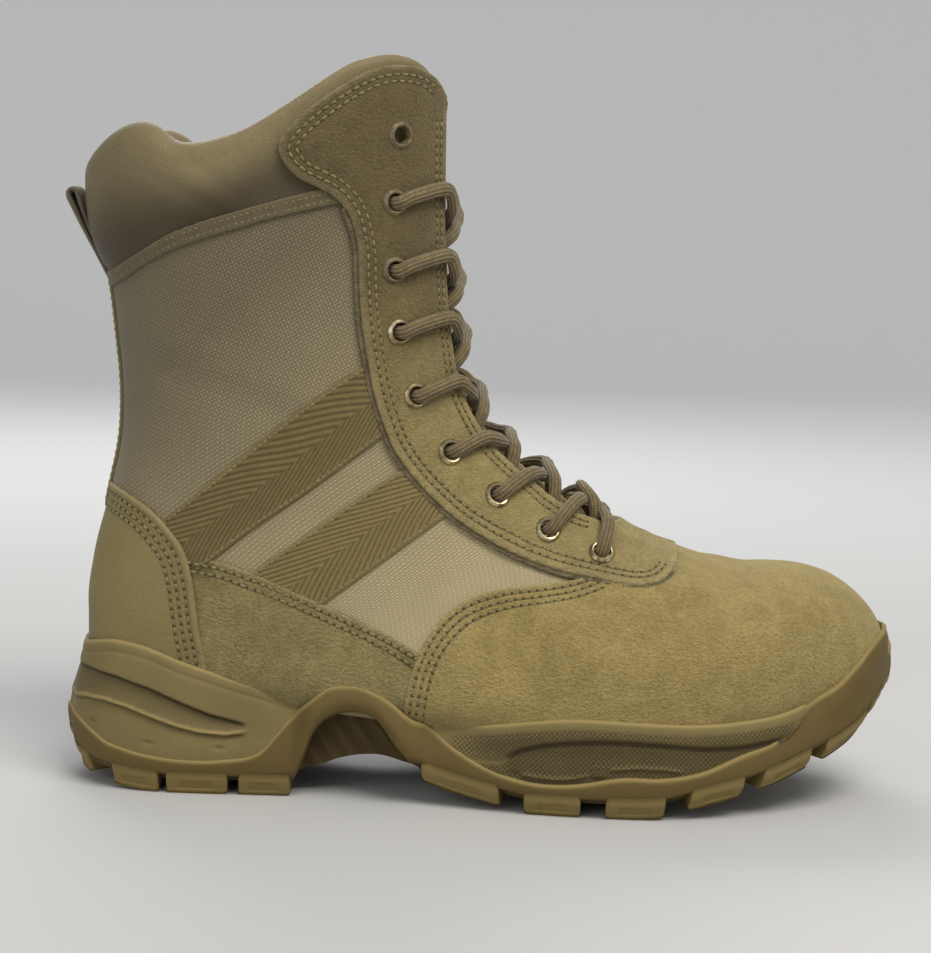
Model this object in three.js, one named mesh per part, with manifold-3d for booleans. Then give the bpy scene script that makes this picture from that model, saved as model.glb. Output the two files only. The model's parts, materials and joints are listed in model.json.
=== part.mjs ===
// An 8-inch combat boot, right foot, standing empty on its sole.
// Millimetres. +X points to the toe, +Y to the inner side of the foot, +Z up.
// X is counted from the middle of the sole's length, Y from the heel's centre line, Z from the floor.
import * as THREE from "three";
import { mergeVertices } from "three/addons/utils/BufferGeometryUtils.js";
import Module from "manifold-3d";

const wasm = await Module();
wasm.setup();

// ---- Driving dimensions -------------------------------------------------------------------------
const WALL = 2.2; // the upper's leather and lining together
const FIT = 0.3; // the gap that two glued faces keep
const OVERLAY = 2.6; // thickness of the eyestay
const COUNTER = 1.6; // thickness of the heel counter's leather
const TONGUE = { outer: -6.6, inner: -10 }; // the tongue's two faces, as depths in the last
const COLLAR = { backOut: 2.2, frontOut: 0, backIn: -9, frontIn: -4.2 }; // padding at back and front
const THROAT = { top: 14, bottom: 15, end: 46, depth: 34 }; // half-widths, last x and depth of the gap
const EYELET = { outer: 4.75, hole: 3, height: 1.2, bevel: 0.5, sides: 6 };
const LOOP_WIDTH = 18;
const LACE = { radius: 2.3, lift: 8.5, dip: 3, sides: 5, steps: 4 }; // lift: its centre over the last
const ORIGIN = { x: -1.8, y: 0.5 }; // middle of the whole boot's box, in the coordinates above

// ---- The last -----------------------------------------------------------------------------------
// Each row is one section through the boot. Its plane holds the line from `front` (shaft front, instep
// or toe ridge) to `back` (shaft back, heel or footbed) and runs straight across the boot. `outer` and
// `inner` are its reaches to the two sides, `widest` the place of the widest point from back to front,
// `ridge` and `base` how square its two ends are (2 is an ellipse).
const LAST = table("frontX frontZ backX backZ outer inner widest ridge base", [
  [-19, 284, -146, 250, 41, 41, 0.46, 2.1, 2.2],
  [-19, 252, -147, 221, 41, 41, 0.46, 2.1, 2.2],
  [-18.5, 226, -144, 200, 40.5, 40.5, 0.46, 2.1, 2.2],
  [-17.5, 204, -139, 182, 40, 40, 0.46, 2.1, 2.2],
  [-15.5, 182, -136, 162, 39, 39, 0.45, 2.1, 2.2],
  [-12.5, 163, -133.8, 143, 38, 38, 0.44, 2.1, 2.3],
  [-7.5, 146, -134, 124, 37, 36.5, 0.42, 2.1, 2.4],
  [3, 130, -137.6, 104, 36, 35.5, 0.4, 2.1, 2.6],
  [14, 120.5, -141, 84, 36, 35, 0.38, 2.1, 2.8],
  [26, 112.5, -143.3, 64, 36.5, 35, 0.37, 2.1, 3],
  [38, 104, -141.5, 45, 37, 35, 0.36, 2.1, 3.2],
  [46, 99, -126, 34, 37, 35, 0.36, 2.1, 3.3],
  [53, 95, -100, 31, 38, 34.5, 0.36, 2.1, 3.4],
  [59, 92.3, -70, 29, 40, 35, 0.35, 2.1, 3.4],
  [64, 90.7, -40, 27, 43, 37.5, 0.34, 2.1, 3.5],
  [69, 89.2, -10, 24, 46.5, 42, 0.33, 2.15, 3.5],
  [75, 87.4, 20, 20, 49, 46, 0.33, 2.2, 3.5],
  [84, 85, 50, 19, 49.2, 49.2, 0.34, 2.25, 3.5],
  [95, 83.2, 76, 21, 46.5, 51, 0.35, 2.3, 3.4],
  [106, 83, 96, 25, 41.5, 50, 0.36, 2.4, 3.2],
  [117, 82.3, 112, 30, 34, 46.3, 0.38, 2.4, 3],
  [128, 79, 126, 34, 25.5, 42, 0.4, 2.4, 2.8],
  [137, 73.3, 136.5, 38.5, 17, 35.5, 0.42, 2.3, 2.6],
  [143.6, 66, 143.4, 43.5, 8.5, 27.5, 0.45, 2.2, 2.4],
  [147.4, 58, 147.4, 50, -1.5, 18, 0.5, 2, 2],
]);
const AROUND = 22; // points round one section

// The line that the upper's lower edge follows, on top of the insole.
const FOOTBED_LINE = table("x z", [
  [-160, 42], [-126, 39], [-100, 36], [-70, 34], [-40, 32], [-10, 29], [20, 25], [50, 24], [76, 26],
  [96, 30], [112, 35], [126, 39.5], [137, 45], [160, 56],
]);
// The seam between the shaft and the padded collar.
const COLLAR_SEAM = table("x z", [
  [-165, 174], [-139.5, 183.5], [-123, 192.5], [-105, 202], [-86, 208], [-68, 213.5], [-35, 223], [0, 232],
  [200, 290],
]);
// The collar's rim, from the back over the dip to the front.
const RIM = table("x z", [
  [-153, 205], [-151, 216], [-148, 222.5], [-140, 230.5], [-133, 234.8], [-126, 236.6], [-120, 234.8],
  [-113, 230], [-106, 229.6], [-95, 232.2], [-85, 236.5], [-72, 245], [-55, 257], [-47, 261],
  [-38, 263], [-30, 261.7], [-25, 258], [-21.5, 250], [-18, 240],
]);
// The eyestay's outline in the side view, from the rim down the back edge, round the toe end.
const FACING_OUTLINE = table("x z", [
  [-10, 262], [-22, 252], [-28, 257.5], [-38, 259.3], [-50, 254.8], [-62, 246.5], [-71, 237], [-76.5, 229.5],
  [-73.6, 222.7], [-66, 217], [-57.5, 213], [-51, 204], [-48.4, 190], [-46.5, 168], [-42.5, 147],
  [-36, 128], [-28, 116.5], [-17, 105.5], [-3, 95.5], [13, 87.3], [30, 82], [46, 79.2], [57, 78.8],
  [64, 81], [68.5, 86], [71, 93], [72, 110], [40, 135],
]);
// The heel counter's edge in the side view: along the top, then down its front.
const COUNTER_OUTLINE = table("x z", [
  [-160, 107], [-133, 107], [-124, 104], [-115, 98.4], [-109, 91.5], [-105, 85], [-102, 71],
  [-100, 58], [-98.5, 48],
]);

// ---- The sole -----------------------------------------------------------------------------------
// One row for each station from heel to toe: reaches to the two sides, height of the tread, of the
// joint between outsole and midsole, and of the cup's rim.
const SOLE = table("x outer inner tread split rim", [
  [-151.6, 7, 7, 8, 27, 49.2],
  [-148, 19, 19, 5, 27, 49.8],
  [-141, 28, 28, 3.2, 25.5, 51.6],
  [-133, 33.5, 33.5, 1.8, 17.5, 53],
  [-120, 37.4, 37.2, 0.4, 13.5, 51.8],
  [-107, 38.5, 38.3, 0, 12, 47.3],
  [-92, 38.2, 37.6, 0, 12.2, 42.7],
  [-78, 37.6, 36.4, 0, 15.5, 38.7],
  [-66, 37.4, 35, 0, 29, 35.5],
  [-59, 37.6, 34.2, 2, 36, 37.5],
  [-51, 38, 33.4, 4, 42, 40.2],
  [-42, 38.8, 32.8, 6, 42, 40.2],
  [-32, 40.3, 33, 8, 37, 35.8],
  [-22, 42.2, 34, 8.6, 30, 28.6],
  [-10, 45, 36.2, 5.6, 21.5, 29],
  [4, 48, 39, 2.6, 14.6, 30.6],
  [18, 50.6, 42.6, 0, 11.2, 32.8],
  [33, 52.4, 46.4, 0, 11.4, 34.4],
  [50, 53.4, 50.4, 0, 14.5, 34.2],
  [64, 53, 53, 0.8, 14.7, 33.7],
  [78, 50.8, 54.4, 4.4, 17, 33.6],
  [92, 46.8, 54.2, 7.6, 22.5, 34.5],
  [105, 40.8, 52.4, 11, 27, 36],
  [117, 35.6, 49.3, 16, 38.2, 39.4],
  [127, 29.6, 46, 20.8, 46, 44],
  [136, 22, 41, 26.5, 60, 52],
  [143.5, 12.6, 33.6, 32.5, 70, 58.5],
  [149, 2.6, 24.2, 37, 75, 60.8],
  [152.4, -4.2, 16.6, 40, 78, 61.2],
]);
// Levels of the sole's side, from the tread to the rim: share of the height, and how far it draws in.
const SOLE_LEVELS = table("share inset", [
  [0, 4.2],
  [0.16, 0.9],
  [0.42, 0],
  [0.72, 1.4],
  [1, 3.8],
]);
// The arch: the lower edge of the side bands, and the underside of the recessed web between them.
const ARCH_BAND = table("x z", [
  [-67.5, -5], [-66, 5], [-62.4, 13.7], [-59.6, 22], [-55.8, 27.8], [-50, 31.2], [-44.5, 32],
  [-39, 31.2], [-35, 28.4], [-30, 22], [-25, 16.5], [-20, 11.5], [-15, 6.5], [-13, -5],
]);
const ARCH_WEB = table("x z", [
  [-66.5, -5], [-65, 7.5], [-56, 11], [-50, 13.4], [-42.5, 14.9], [-35.5, 15.1], [-28, 13.2],
  [-20, 9.6], [-14, -5],
]);
const WEB = { outer: -29, inner: 25.5 }; // the recessed web's two faces
const CORE = { rear: -80, front: 5, inset: 6, floor: 19 }; // the midsole's bridge behind the bands

// Side grooves between the lugs: place along the edge, width, depth of cut, length inwards, slant.
const GROOVES = table("x width depth reach slant", [
  [-112.5, 3.4, 7.4, 17, 0],
  [-86.7, 4, 7.6, 17, 0],
  [11, 7.6, 6.8, 17, -12],
  [40.2, 7.4, 6, 18, -6],
  [70.2, 7.8, 6.4, 18, 6],
  [97.4, 7.6, 6.6, 16, 16],
  [121.3, 5, 6, 13, 30],
]);
// Grooves across the middle of the tread.
const CROSS_GROOVES = table("x y length width slant", [
  [-99.5, 0, 40, 4, 0],
  [-118, 0, 36, 4, 0],
  [2, 0, 42, 5, 20],
  [26, 0, 48, 5, -20],
  [55, 2, 50, 5, 20],
  [84, 5, 46, 5, -20],
  [109, 7, 36, 5, 20],
]);
const CROSS_DEPTH = 4.5;

// ---- Eyelets ------------------------------------------------------------------------------------
// Nine a side. `section` counts rows of the last, `reach` is the way round from the ridge.
const EYELETS = table("section reach", [
  [1.49, 35.2],
  [2.48, 37.4],
  [3.56, 37.9],
  [4.62, 37.4],
  [5.91, 34.8],
  [7.19, 33],
  [8.76, 32.6],
  [10.17, 30.1],
  [12.26, 26.2],
]);
const FIRST_LACED = 1; // the top pair stays empty

// ---- Tables, curves and solids ------------------------------------------------------------------
function table(columns, rows) {
  const names = columns.split(" ");
  return rows.map((row) => Object.fromEntries(names.map((name, i) => [name, row[i]])));
}

// A smooth value between rows, at a fractional row number.
function between(rows, at, column) {
  const i = Math.min(Math.max(Math.floor(at), 0), rows.length - 2);
  const t = at - i;
  const p1 = rows[i][column];
  const p2 = rows[i + 1][column];
  const p0 = i > 0 ? rows[i - 1][column] : 2 * p1 - p2;
  const p3 = i < rows.length - 2 ? rows[i + 2][column] : 2 * p2 - p1;
  const a = 2 * p0 - 5 * p1 + 4 * p2 - p3;
  const b = 3 * p1 - p0 - 3 * p2 + p3;
  return 0.5 * (2 * p1 + (p2 - p0) * t + a * t * t + b * t * t * t);
}

function lineAt(rows, x) {
  const i = rows.findIndex((row) => row.x > x);
  if (i <= 0) return i === 0 ? rows[0].z : rows[rows.length - 1].z;
  const t = (x - rows[i - 1].x) / (rows[i].x - rows[i - 1].x);
  return rows[i - 1].z + t * (rows[i].z - rows[i - 1].z);
}

function solidOf(geometry) {
  geometry.deleteAttribute("normal");
  geometry.deleteAttribute("uv");
  const merged = mergeVertices(geometry, 1e-4);
  const vertProperties = new Float32Array(merged.attributes.position.array);
  const triVerts = new Uint32Array(merged.index.array);
  return new wasm.Manifold(new wasm.Mesh({ numProp: 3, vertProperties, triVerts }));
}

function geometryOf(solid) {
  const { vertProperties, triVerts } = solid.getMesh();
  const geometry = new THREE.BufferGeometry();
  geometry.setAttribute("position", new THREE.BufferAttribute(vertProperties, 3));
  geometry.setIndex(new THREE.BufferAttribute(triVerts, 1));
  geometry.computeVertexNormals();
  return geometry;
}

// Joins rings of equal length into one closed skin; `cap` closes an end ring, given its first index.
function skin(rings, cap) {
  const size = rings[0].length;
  const points = rings.flat();
  const faces = [];
  for (let r = 0; r < rings.length - 1; r++)
    for (let i = 0; i < size; i++) {
      const j = (i + 1) % size;
      const [a, b] = [r * size + i, r * size + j];
      faces.push(a, b, b + size, a, b + size, a + size);
    }
  cap(0, true, faces, points, size);
  cap((rings.length - 1) * size, false, faces, points, size);
  const geometry = new THREE.BufferGeometry().setFromPoints(points);
  geometry.setIndex(faces);
  return geometry;
}

// A fan from the ring's middle.
function fanCap(start, first, faces, points, size) {
  const middle = new THREE.Vector3();
  for (let i = 0; i < size; i++) middle.addScaledVector(points[start + i], 1 / size);
  points.push(middle);
  const centre = points.length - 1;
  for (let i = 0; i < size; i++) {
    const [a, b] = [start + i, start + ((i + 1) % size)];
    faces.push(...(first ? [a, centre, b] : [a, b, centre]));
  }
}

// A strip between the two sides of a ring that runs out on one side and home on the other.
function stripCap(start, first, faces, points, size) {
  for (let i = 0; i < size / 2 - 1; i++) {
    const [a, b] = [start + i, start + i + 1];
    const [c, d] = [start + size - 2 - i, start + size - 1 - i];
    faces.push(...(first ? [a, c, b, a, d, c] : [a, b, c, a, c, d]));
  }
}

// ---- The last's surface -------------------------------------------------------------------------
// Half a section, from the ridge (0) to the base (1), at even steps of its own length.
function halfSection(at, steps) {
  const row = {};
  for (const name of Object.keys(LAST[0])) row[name] = between(LAST, at, name);
  const width = (row.outer + row.inner) / 2;
  const fine = 90;
  const raw = [];
  for (let k = 0; k <= fine; k++) {
    const angle = (Math.PI * k) / fine;
    const power = 2 / (k <= fine / 2 ? row.ridge : row.base);
    const along = Math.sign(Math.cos(angle)) * Math.abs(Math.cos(angle)) ** power;
    const share = row.widest + along * (along > 0 ? 1 - row.widest : row.widest);
    const x = row.backX + share * (row.frontX - row.backX);
    const z = row.backZ + share * (row.frontZ - row.backZ);
    raw.push(new THREE.Vector3(x, width * Math.sin(angle) ** power, z));
  }
  const lengths = [0];
  for (let k = 1; k <= fine; k++) lengths.push(lengths[k - 1] + raw[k].distanceTo(raw[k - 1]));
  const pick = (length) => {
    const past = lengths.findIndex((l) => l >= length);
    const k = past < 0 ? fine : Math.max(past, 1);
    return raw[k - 1].clone().lerp(raw[k], (length - lengths[k - 1]) / (lengths[k] - lengths[k - 1]));
  };
  const middle = (row.inner - row.outer) / 2;
  if (!steps) return { pick, middle };
  const points = [];
  for (let k = 0; k <= steps; k++) points.push(pick((lengths[fine] * k) / steps));
  return { points, middle };
}

// The point of the last at a section, a reach round from the ridge (outer side negative), and its normal.
function lastPoint(section, reach, lift) {
  const on = (s, r) => {
    const { pick, middle } = halfSection(s, 0);
    const p = pick(Math.abs(r));
    return new THREE.Vector3(p.x, middle + Math.sign(r) * p.y, p.z);
  };
  const step = 0.02;
  const point = on(section, reach);
  const along = on(section + step, reach).sub(on(section - step, reach));
  const round = on(section, reach + 1).sub(on(section, reach - 1));
  const normal = along.cross(round).normalize();
  return { point: point.addScaledVector(normal, lift), normal };
}

// The whole last, grown by `lift` along its normals; lift is a number or a function of the point.
function lastForm(lift) {
  const rings = LAST.map((_, section) => {
    const { points, middle } = halfSection(section, AROUND / 2);
    const outer = points.map((p) => new THREE.Vector3(p.x, middle - p.y, p.z));
    const inner = points.slice(1, -1).map((p) => new THREE.Vector3(p.x, middle + p.y, p.z));
    return [...outer, ...inner.reverse()];
  });
  const geometry = skin(rings, fanCap);
  geometry.computeVertexNormals();
  const { position, normal } = geometry.attributes;
  const point = new THREE.Vector3();
  const out = new THREE.Vector3();
  for (let i = 0; i < position.count; i++) {
    point.fromBufferAttribute(position, i);
    out.fromBufferAttribute(normal, i);
    point.addScaledVector(out, typeof lift === "number" ? lift : lift(point));
    position.setXYZ(i, point.x, point.y, point.z);
  }
  return solidOf(geometry);
}

const SPAN = 90; // further out than either side of the boot
// A side-view outline pushed straight across the boot.
function across(rows, from = -SPAN, to = SPAN) {
  const shape = new THREE.Shape(rows.map(({ x, z }) => new THREE.Vector2(x, z)));
  const geometry = new THREE.ExtrudeGeometry(shape, { depth: to - from, bevelEnabled: false });
  geometry.rotateX(Math.PI / 2);
  geometry.translate(0, to, 0);
  return solidOf(geometry);
}

const FAR = 400;
const shifted = (rows, dz) => rows.map(({ x, z }) => ({ x, z: z + dz }));
const ends = (rows, z) => [
  { x: rows[rows.length - 1].x, z },
  { x: rows[0].x, z },
];
const above = (rows, gap = 0) => across([...shifted(rows, gap), ...ends(rows, FAR)]);
const below = (rows, gap = 0) => across([...shifted(rows, gap), ...ends(rows, -FAR)]);

// The gap down the front, from above the rim to the toe end of the throat.
function throatCutter() {
  const rings = [];
  const last = LAST.findIndex((row) => row.frontX > THROAT.end);
  for (let i = 0; i <= last; i++) {
    const { frontX, frontZ, backX, backZ } = LAST[i];
    const inwards = new THREE.Vector3(backX - frontX, 0, backZ - frontZ).normalize();
    const half = THROAT.top + ((THROAT.bottom - THROAT.top) * i) / last;
    const ridge = new THREE.Vector3(Math.min(frontX, THROAT.end), 0, frontZ);
    const outside = ridge.clone().addScaledVector(inwards, -THROAT.depth);
    const inside = ridge.clone().addScaledVector(inwards, THROAT.depth);
    const at = (p, y) => new THREE.Vector3(p.x, y, p.z);
    rings.push([at(outside, -half), at(inside, -half), at(inside, half), at(outside, half)]);
  }
  return solidOf(skin(rings, fanCap));
}

// ---- The sole's solids --------------------------------------------------------------------------
function soleBlank() {
  const outline = [
    ...SOLE.map(({ x, outer }) => new THREE.Vector2(x, -outer)),
    ...SOLE.map(({ x, inner }) => new THREE.Vector2(x, inner)).reverse(),
  ];
  const count = outline.length;
  const inwards = outline.map((p, i) => {
    const run = outline[(i + 1) % count].clone().sub(outline[(i + count - 1) % count]).normalize();
    return new THREE.Vector2(-run.y, run.x);
  });
  const rings = SOLE_LEVELS.map(({ share, inset }) =>
    outline.map((p, i) => {
      const { tread, rim } = SOLE[i < SOLE.length ? i : count - 1 - i];
      const q = p.clone().addScaledVector(inwards[i], inset);
      return new THREE.Vector3(q.x, q.y, tread + share * (rim - tread));
    }),
  );
  return solidOf(skin(rings, stripCap));
}

const split = SOLE.map((row) => ({ x: row.x, z: row.split }));
split.unshift({ x: -170, z: split[0].z });
split.push({ x: 170, z: split[split.length - 1].z });

// The midsole's bridge behind the arch bands, from above; `grow` widens it for the outsole's pocket.
function archCore(grow) {
  const rows = SOLE.filter(({ x }) => x > CORE.rear && x < CORE.front);
  const inset = CORE.inset - grow;
  const plan = [
    ...rows.map(({ x, outer }) => new THREE.Vector2(x, inset - outer)),
    ...rows.map(({ x, inner }) => new THREE.Vector2(x, inner - inset)).reverse(),
  ];
  const depth = FAR;
  const geometry = new THREE.ExtrudeGeometry(new THREE.Shape(plan), { depth, bevelEnabled: false });
  geometry.translate(0, 0, CORE.floor - grow);
  return solidOf(geometry);
}

function archCutters() {
  const outer = across(ARCH_BAND, -SPAN, WEB.outer);
  const inner = across(ARCH_BAND, WEB.inner, SPAN);
  return across(ARCH_WEB).add(outer).add(inner);
}

const tread = SOLE.map((row) => ({ x: row.x, z: row.tread }));

// A block that cuts a groove up into the tread, tilted with the tread and turned by `slant` degrees.
function grooveBlock(x, y, length, width, depth, slant) {
  const geometry = new THREE.BoxGeometry(width, length, 2 * depth);
  const rise = lineAt(tread, x + width) - lineAt(tread, x - width);
  geometry.rotateY(-Math.atan(rise / (2 * width)));
  geometry.rotateZ(THREE.MathUtils.degToRad(slant));
  geometry.translate(x, y, lineAt(tread, x));
  return solidOf(geometry);
}

function edgeAt(x, side) {
  const rows = SOLE.map((row) => ({ x: row.x, z: side < 0 ? row.outer : row.inner }));
  return side * lineAt(rows, x);
}

function treadGrooves() {
  let cut = null;
  const take = (block) => {
    cut = cut ? cut.add(block) : block;
  };
  for (const side of [-1, 1])
    for (const { x, width, depth, reach, slant } of GROOVES)
      take(grooveBlock(x, edgeAt(x, side), 2 * reach, width, depth, side * slant));
  for (const { x, y, length, width, slant } of CROSS_GROOVES)
    take(grooveBlock(x, y, length, width, CROSS_DEPTH, slant));
  return cut;
}

// ---- The pieces ---------------------------------------------------------------------------------
const pocket = lastForm(FIT);
const throat = throatCutter();

function outsole() {
  return soleBlank()
    .intersect(below(split, -FIT / 2))
    .subtract(archCore(FIT))
    .subtract(pocket)
    .subtract(archCutters())
    .subtract(treadGrooves());
}

function midsole() {
  return soleBlank()
    .intersect(above(split, FIT / 2).add(archCore(0)))
    .subtract(pocket);
}

function insole() {
  return lastForm(0).intersect(below(FOOTBED_LINE, -FIT));
}

function upper() {
  return lastForm(0)
    .subtract(lastForm(-WALL))
    .intersect(above(FOOTBED_LINE))
    .intersect(below(COLLAR_SEAM))
    .subtract(throat);
}

// The collar's padding runs from its back value to its front value between these two places.
const PAD_BACK_X = -98;
const PAD_FRONT_X = -81;
const ramp = (x, back, front) => {
  const share = THREE.MathUtils.smoothstep(x, PAD_BACK_X, PAD_FRONT_X);
  return THREE.MathUtils.lerp(back, front, share);
};

function collar() {
  return lastForm((p) => ramp(p.x, COLLAR.backOut, COLLAR.frontOut))
    .subtract(lastForm((p) => ramp(p.x, COLLAR.backIn, COLLAR.frontIn)))
    .intersect(above(COLLAR_SEAM, FIT))
    .intersect(below(RIM))
    .subtract(throat);
}

// The tongue's side-view outline: its rear edge down the shaft, then a line well ahead of the ridge.
const TONGUE_OUTLINE = table("x z", [
  [-46, 258], [-46, 226], [-43, 192], [-38, 165], [-29, 143], [-13, 124], [6, 109], [28, 97],
  [50, 88], [74, 80], [90, 100], [40, 140], [10, 180], [0, 258],
]);

function tongue() {
  return lastForm(TONGUE.outer).subtract(lastForm(TONGUE.inner)).intersect(across(TONGUE_OUTLINE));
}

function facing() {
  return lastForm(FIT + OVERLAY)
    .subtract(lastForm(FIT))
    .intersect(across(FACING_OUTLINE))
    .subtract(throat);
}

function heelCounter() {
  const rim = SOLE.map((row) => ({ x: row.x, z: row.rim }));
  rim.unshift({ x: -170, z: rim[0].z });
  return lastForm(FIT + COUNTER)
    .subtract(lastForm(FIT))
    .intersect(across([...COUNTER_OUTLINE, ...ends(COUNTER_OUTLINE, -FAR)]))
    .intersect(above(rim, FIT));
}

// A strap folded over on itself behind the collar and sewn down to the back seam.
const LOOP_OUTER = table("x z", [
  [-142.3, 176], [-147, 189], [-153.5, 205], [-156.4, 210], [-155.6, 212.2], [-152.4, 212.6],
]);
const LOOP_INNER = table("x z", [
  [-151.6, 206], [-148.4, 196], [-144.6, 186], [-141, 176],
]);
const LOOP_HOLE = table("x z", [
  [-144.9, 189], [-149.6, 202], [-152.2, 208.4], [-152.2, 205], [-148.6, 194],
]);

function pullLoop() {
  const half = LOOP_WIDTH / 2;
  const strap = across([...LOOP_OUTER, ...LOOP_INNER], -half, half);
  return strap.subtract(across(LOOP_HOLE, -half - 1, half + 1));
}

function eyeletAt({ section, reach }, side) {
  const { outer, hole, height, bevel, sides } = EYELET;
  const profile = [
    new THREE.Vector2(hole, 0),
    new THREE.Vector2(outer, 0),
    new THREE.Vector2(outer - bevel, height),
    new THREE.Vector2(hole, height),
    new THREE.Vector2(hole, 0),
  ];
  const geometry = new THREE.LatheGeometry(profile, sides);
  const { point, normal } = lastPoint(section, side * reach, OVERLAY + 3 * FIT);
  const turn = new THREE.Quaternion().setFromUnitVectors(new THREE.Vector3(0, 1, 0), normal);
  geometry.applyQuaternion(turn);
  geometry.translate(point.x, point.y, point.z);
  return solidOf(geometry);
}

// One crossing of the lace, over the throat from one eyelet to another.
function crossing(from, to) {
  const points = [];
  for (let i = 0; i <= LACE.steps; i++) {
    const t = i / LACE.steps;
    const section = THREE.MathUtils.lerp(from.section, to.section, t);
    const reach = THREE.MathUtils.lerp(from.side * from.reach, to.side * to.reach, t);
    const lift = LACE.lift - LACE.dip * Math.sin(Math.PI * t) ** 2; // it dips over the gap
    points.push(lastPoint(section, reach, lift).point);
  }
  const corners = [];
  for (let i = 0; i < LACE.sides; i++) {
    const angle = (2 * Math.PI * i) / LACE.sides;
    corners.push(new THREE.Vector2(Math.cos(angle), Math.sin(angle)).multiplyScalar(LACE.radius));
  }
  const options = {
    steps: LACE.steps,
    extrudePath: new THREE.CatmullRomCurve3(points),
    bevelEnabled: false,
  };
  return solidOf(new THREE.ExtrudeGeometry(new THREE.Shape(corners), options));
}

function lace() {
  const pairs = EYELETS.slice(FIRST_LACED);
  const bottom = pairs[pairs.length - 1];
  let joined = crossing({ ...bottom, side: -1 }, { ...bottom, side: 1 });
  for (let i = 1; i < pairs.length; i++)
    for (const side of [-1, 1]) {
      joined = joined.add(crossing({ ...pairs[i], side }, { ...pairs[i - 1], side: -side }));
    }
  return joined;
}

// ---- The boot -----------------------------------------------------------------------------------
const MATERIALS = {
  rubber: { color: 0x8a7c52, roughness: 0.75, metalness: 0 },
  foam: { color: 0x75714b, roughness: 0.65, metalness: 0 },
  suede: { color: 0x8d8058, roughness: 0.95, metalness: 0 },
  leather: { color: 0x6c6340, roughness: 0.6, metalness: 0 },
  fabric: { color: 0x8b8560, roughness: 0.9, metalness: 0 },
  cord: { color: 0x7d7148, roughness: 0.85, metalness: 0 },
  metal: { color: 0xa8946a, roughness: 0.35, metalness: 1 },
};

const boot = new THREE.Group();
boot.position.set(-ORIGIN.x, -ORIGIN.y, 0);

function place(name, solid, material) {
  const mesh = new THREE.Mesh(geometryOf(solid), new THREE.MeshStandardMaterial(MATERIALS[material]));
  mesh.name = name;
  boot.add(mesh);
}

place("outsole", outsole(), "rubber");
place("midsole", midsole(), "foam");
place("insole", insole(), "fabric");
place("upper", upper(), "fabric");
place("collar", collar(), "leather");
place("tongue", tongue(), "fabric");
place("facing", facing(), "suede");
place("heel_counter", heelCounter(), "leather");
place("pull_loop", pullLoop(), "fabric");
place("lace", lace(), "cord");
EYELETS.forEach((eyelet, i) => {
  place(`eyelet_outer_${i + 1}`, eyeletAt(eyelet, -1), "metal");
  place(`eyelet_inner_${i + 1}`, eyeletAt(eyelet, 1), "metal");
});

export default boot;
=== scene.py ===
import json
import math

import bpy
import numpy as np
from mathutils import Matrix, Quaternion, Vector, kdtree
from mathutils.geometry import delaunay_2d_cdt

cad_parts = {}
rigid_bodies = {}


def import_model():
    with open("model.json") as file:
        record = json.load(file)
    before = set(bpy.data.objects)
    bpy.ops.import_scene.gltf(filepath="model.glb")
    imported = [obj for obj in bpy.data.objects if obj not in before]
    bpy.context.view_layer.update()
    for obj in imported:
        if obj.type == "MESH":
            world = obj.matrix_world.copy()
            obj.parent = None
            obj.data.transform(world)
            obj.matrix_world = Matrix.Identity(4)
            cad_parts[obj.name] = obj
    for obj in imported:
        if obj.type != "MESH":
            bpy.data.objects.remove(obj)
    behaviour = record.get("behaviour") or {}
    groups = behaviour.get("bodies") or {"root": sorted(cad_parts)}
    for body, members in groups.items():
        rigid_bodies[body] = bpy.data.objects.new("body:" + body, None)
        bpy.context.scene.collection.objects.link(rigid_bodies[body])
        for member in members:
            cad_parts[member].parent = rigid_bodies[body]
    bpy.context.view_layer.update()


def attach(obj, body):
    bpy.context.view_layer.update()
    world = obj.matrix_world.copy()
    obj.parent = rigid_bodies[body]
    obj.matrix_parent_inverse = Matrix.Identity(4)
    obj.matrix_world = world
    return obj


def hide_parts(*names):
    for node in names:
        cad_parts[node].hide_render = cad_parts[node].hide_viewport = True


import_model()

# A desert combat boot, right foot. Tables are in millimetres in the last's own coordinates: X from the
# middle of the sole towards the toe, Y from the heel's centre line (the outer side is negative), Z up.
MM = 0.001
ORIGIN = np.array([1.8, -0.5, 0.0])  # the last's coordinates in the frame
OUTER, INNER = -1, 1  # the two sides of the foot
SIDES = ((OUTER, "outer"), (INNER, "inner"))

# ---- Finishes: colour, in linear RGB ----
SUEDE = (0.285, 0.225, 0.098)
SUEDE_DARK = (0.200, 0.158, 0.068)
COUNTER_LEATHER = (0.220, 0.168, 0.060)
COLLAR_LEATHER = (0.195, 0.150, 0.067)
FABRIC = (0.235, 0.196, 0.124)
THREAD = (0.300, 0.240, 0.105)
CORD = (0.235, 0.172, 0.078)
RUBBER = (0.120, 0.080, 0.024)
FOAM = (0.188, 0.144, 0.056)
LINING = (0.110, 0.090, 0.052)

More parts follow.
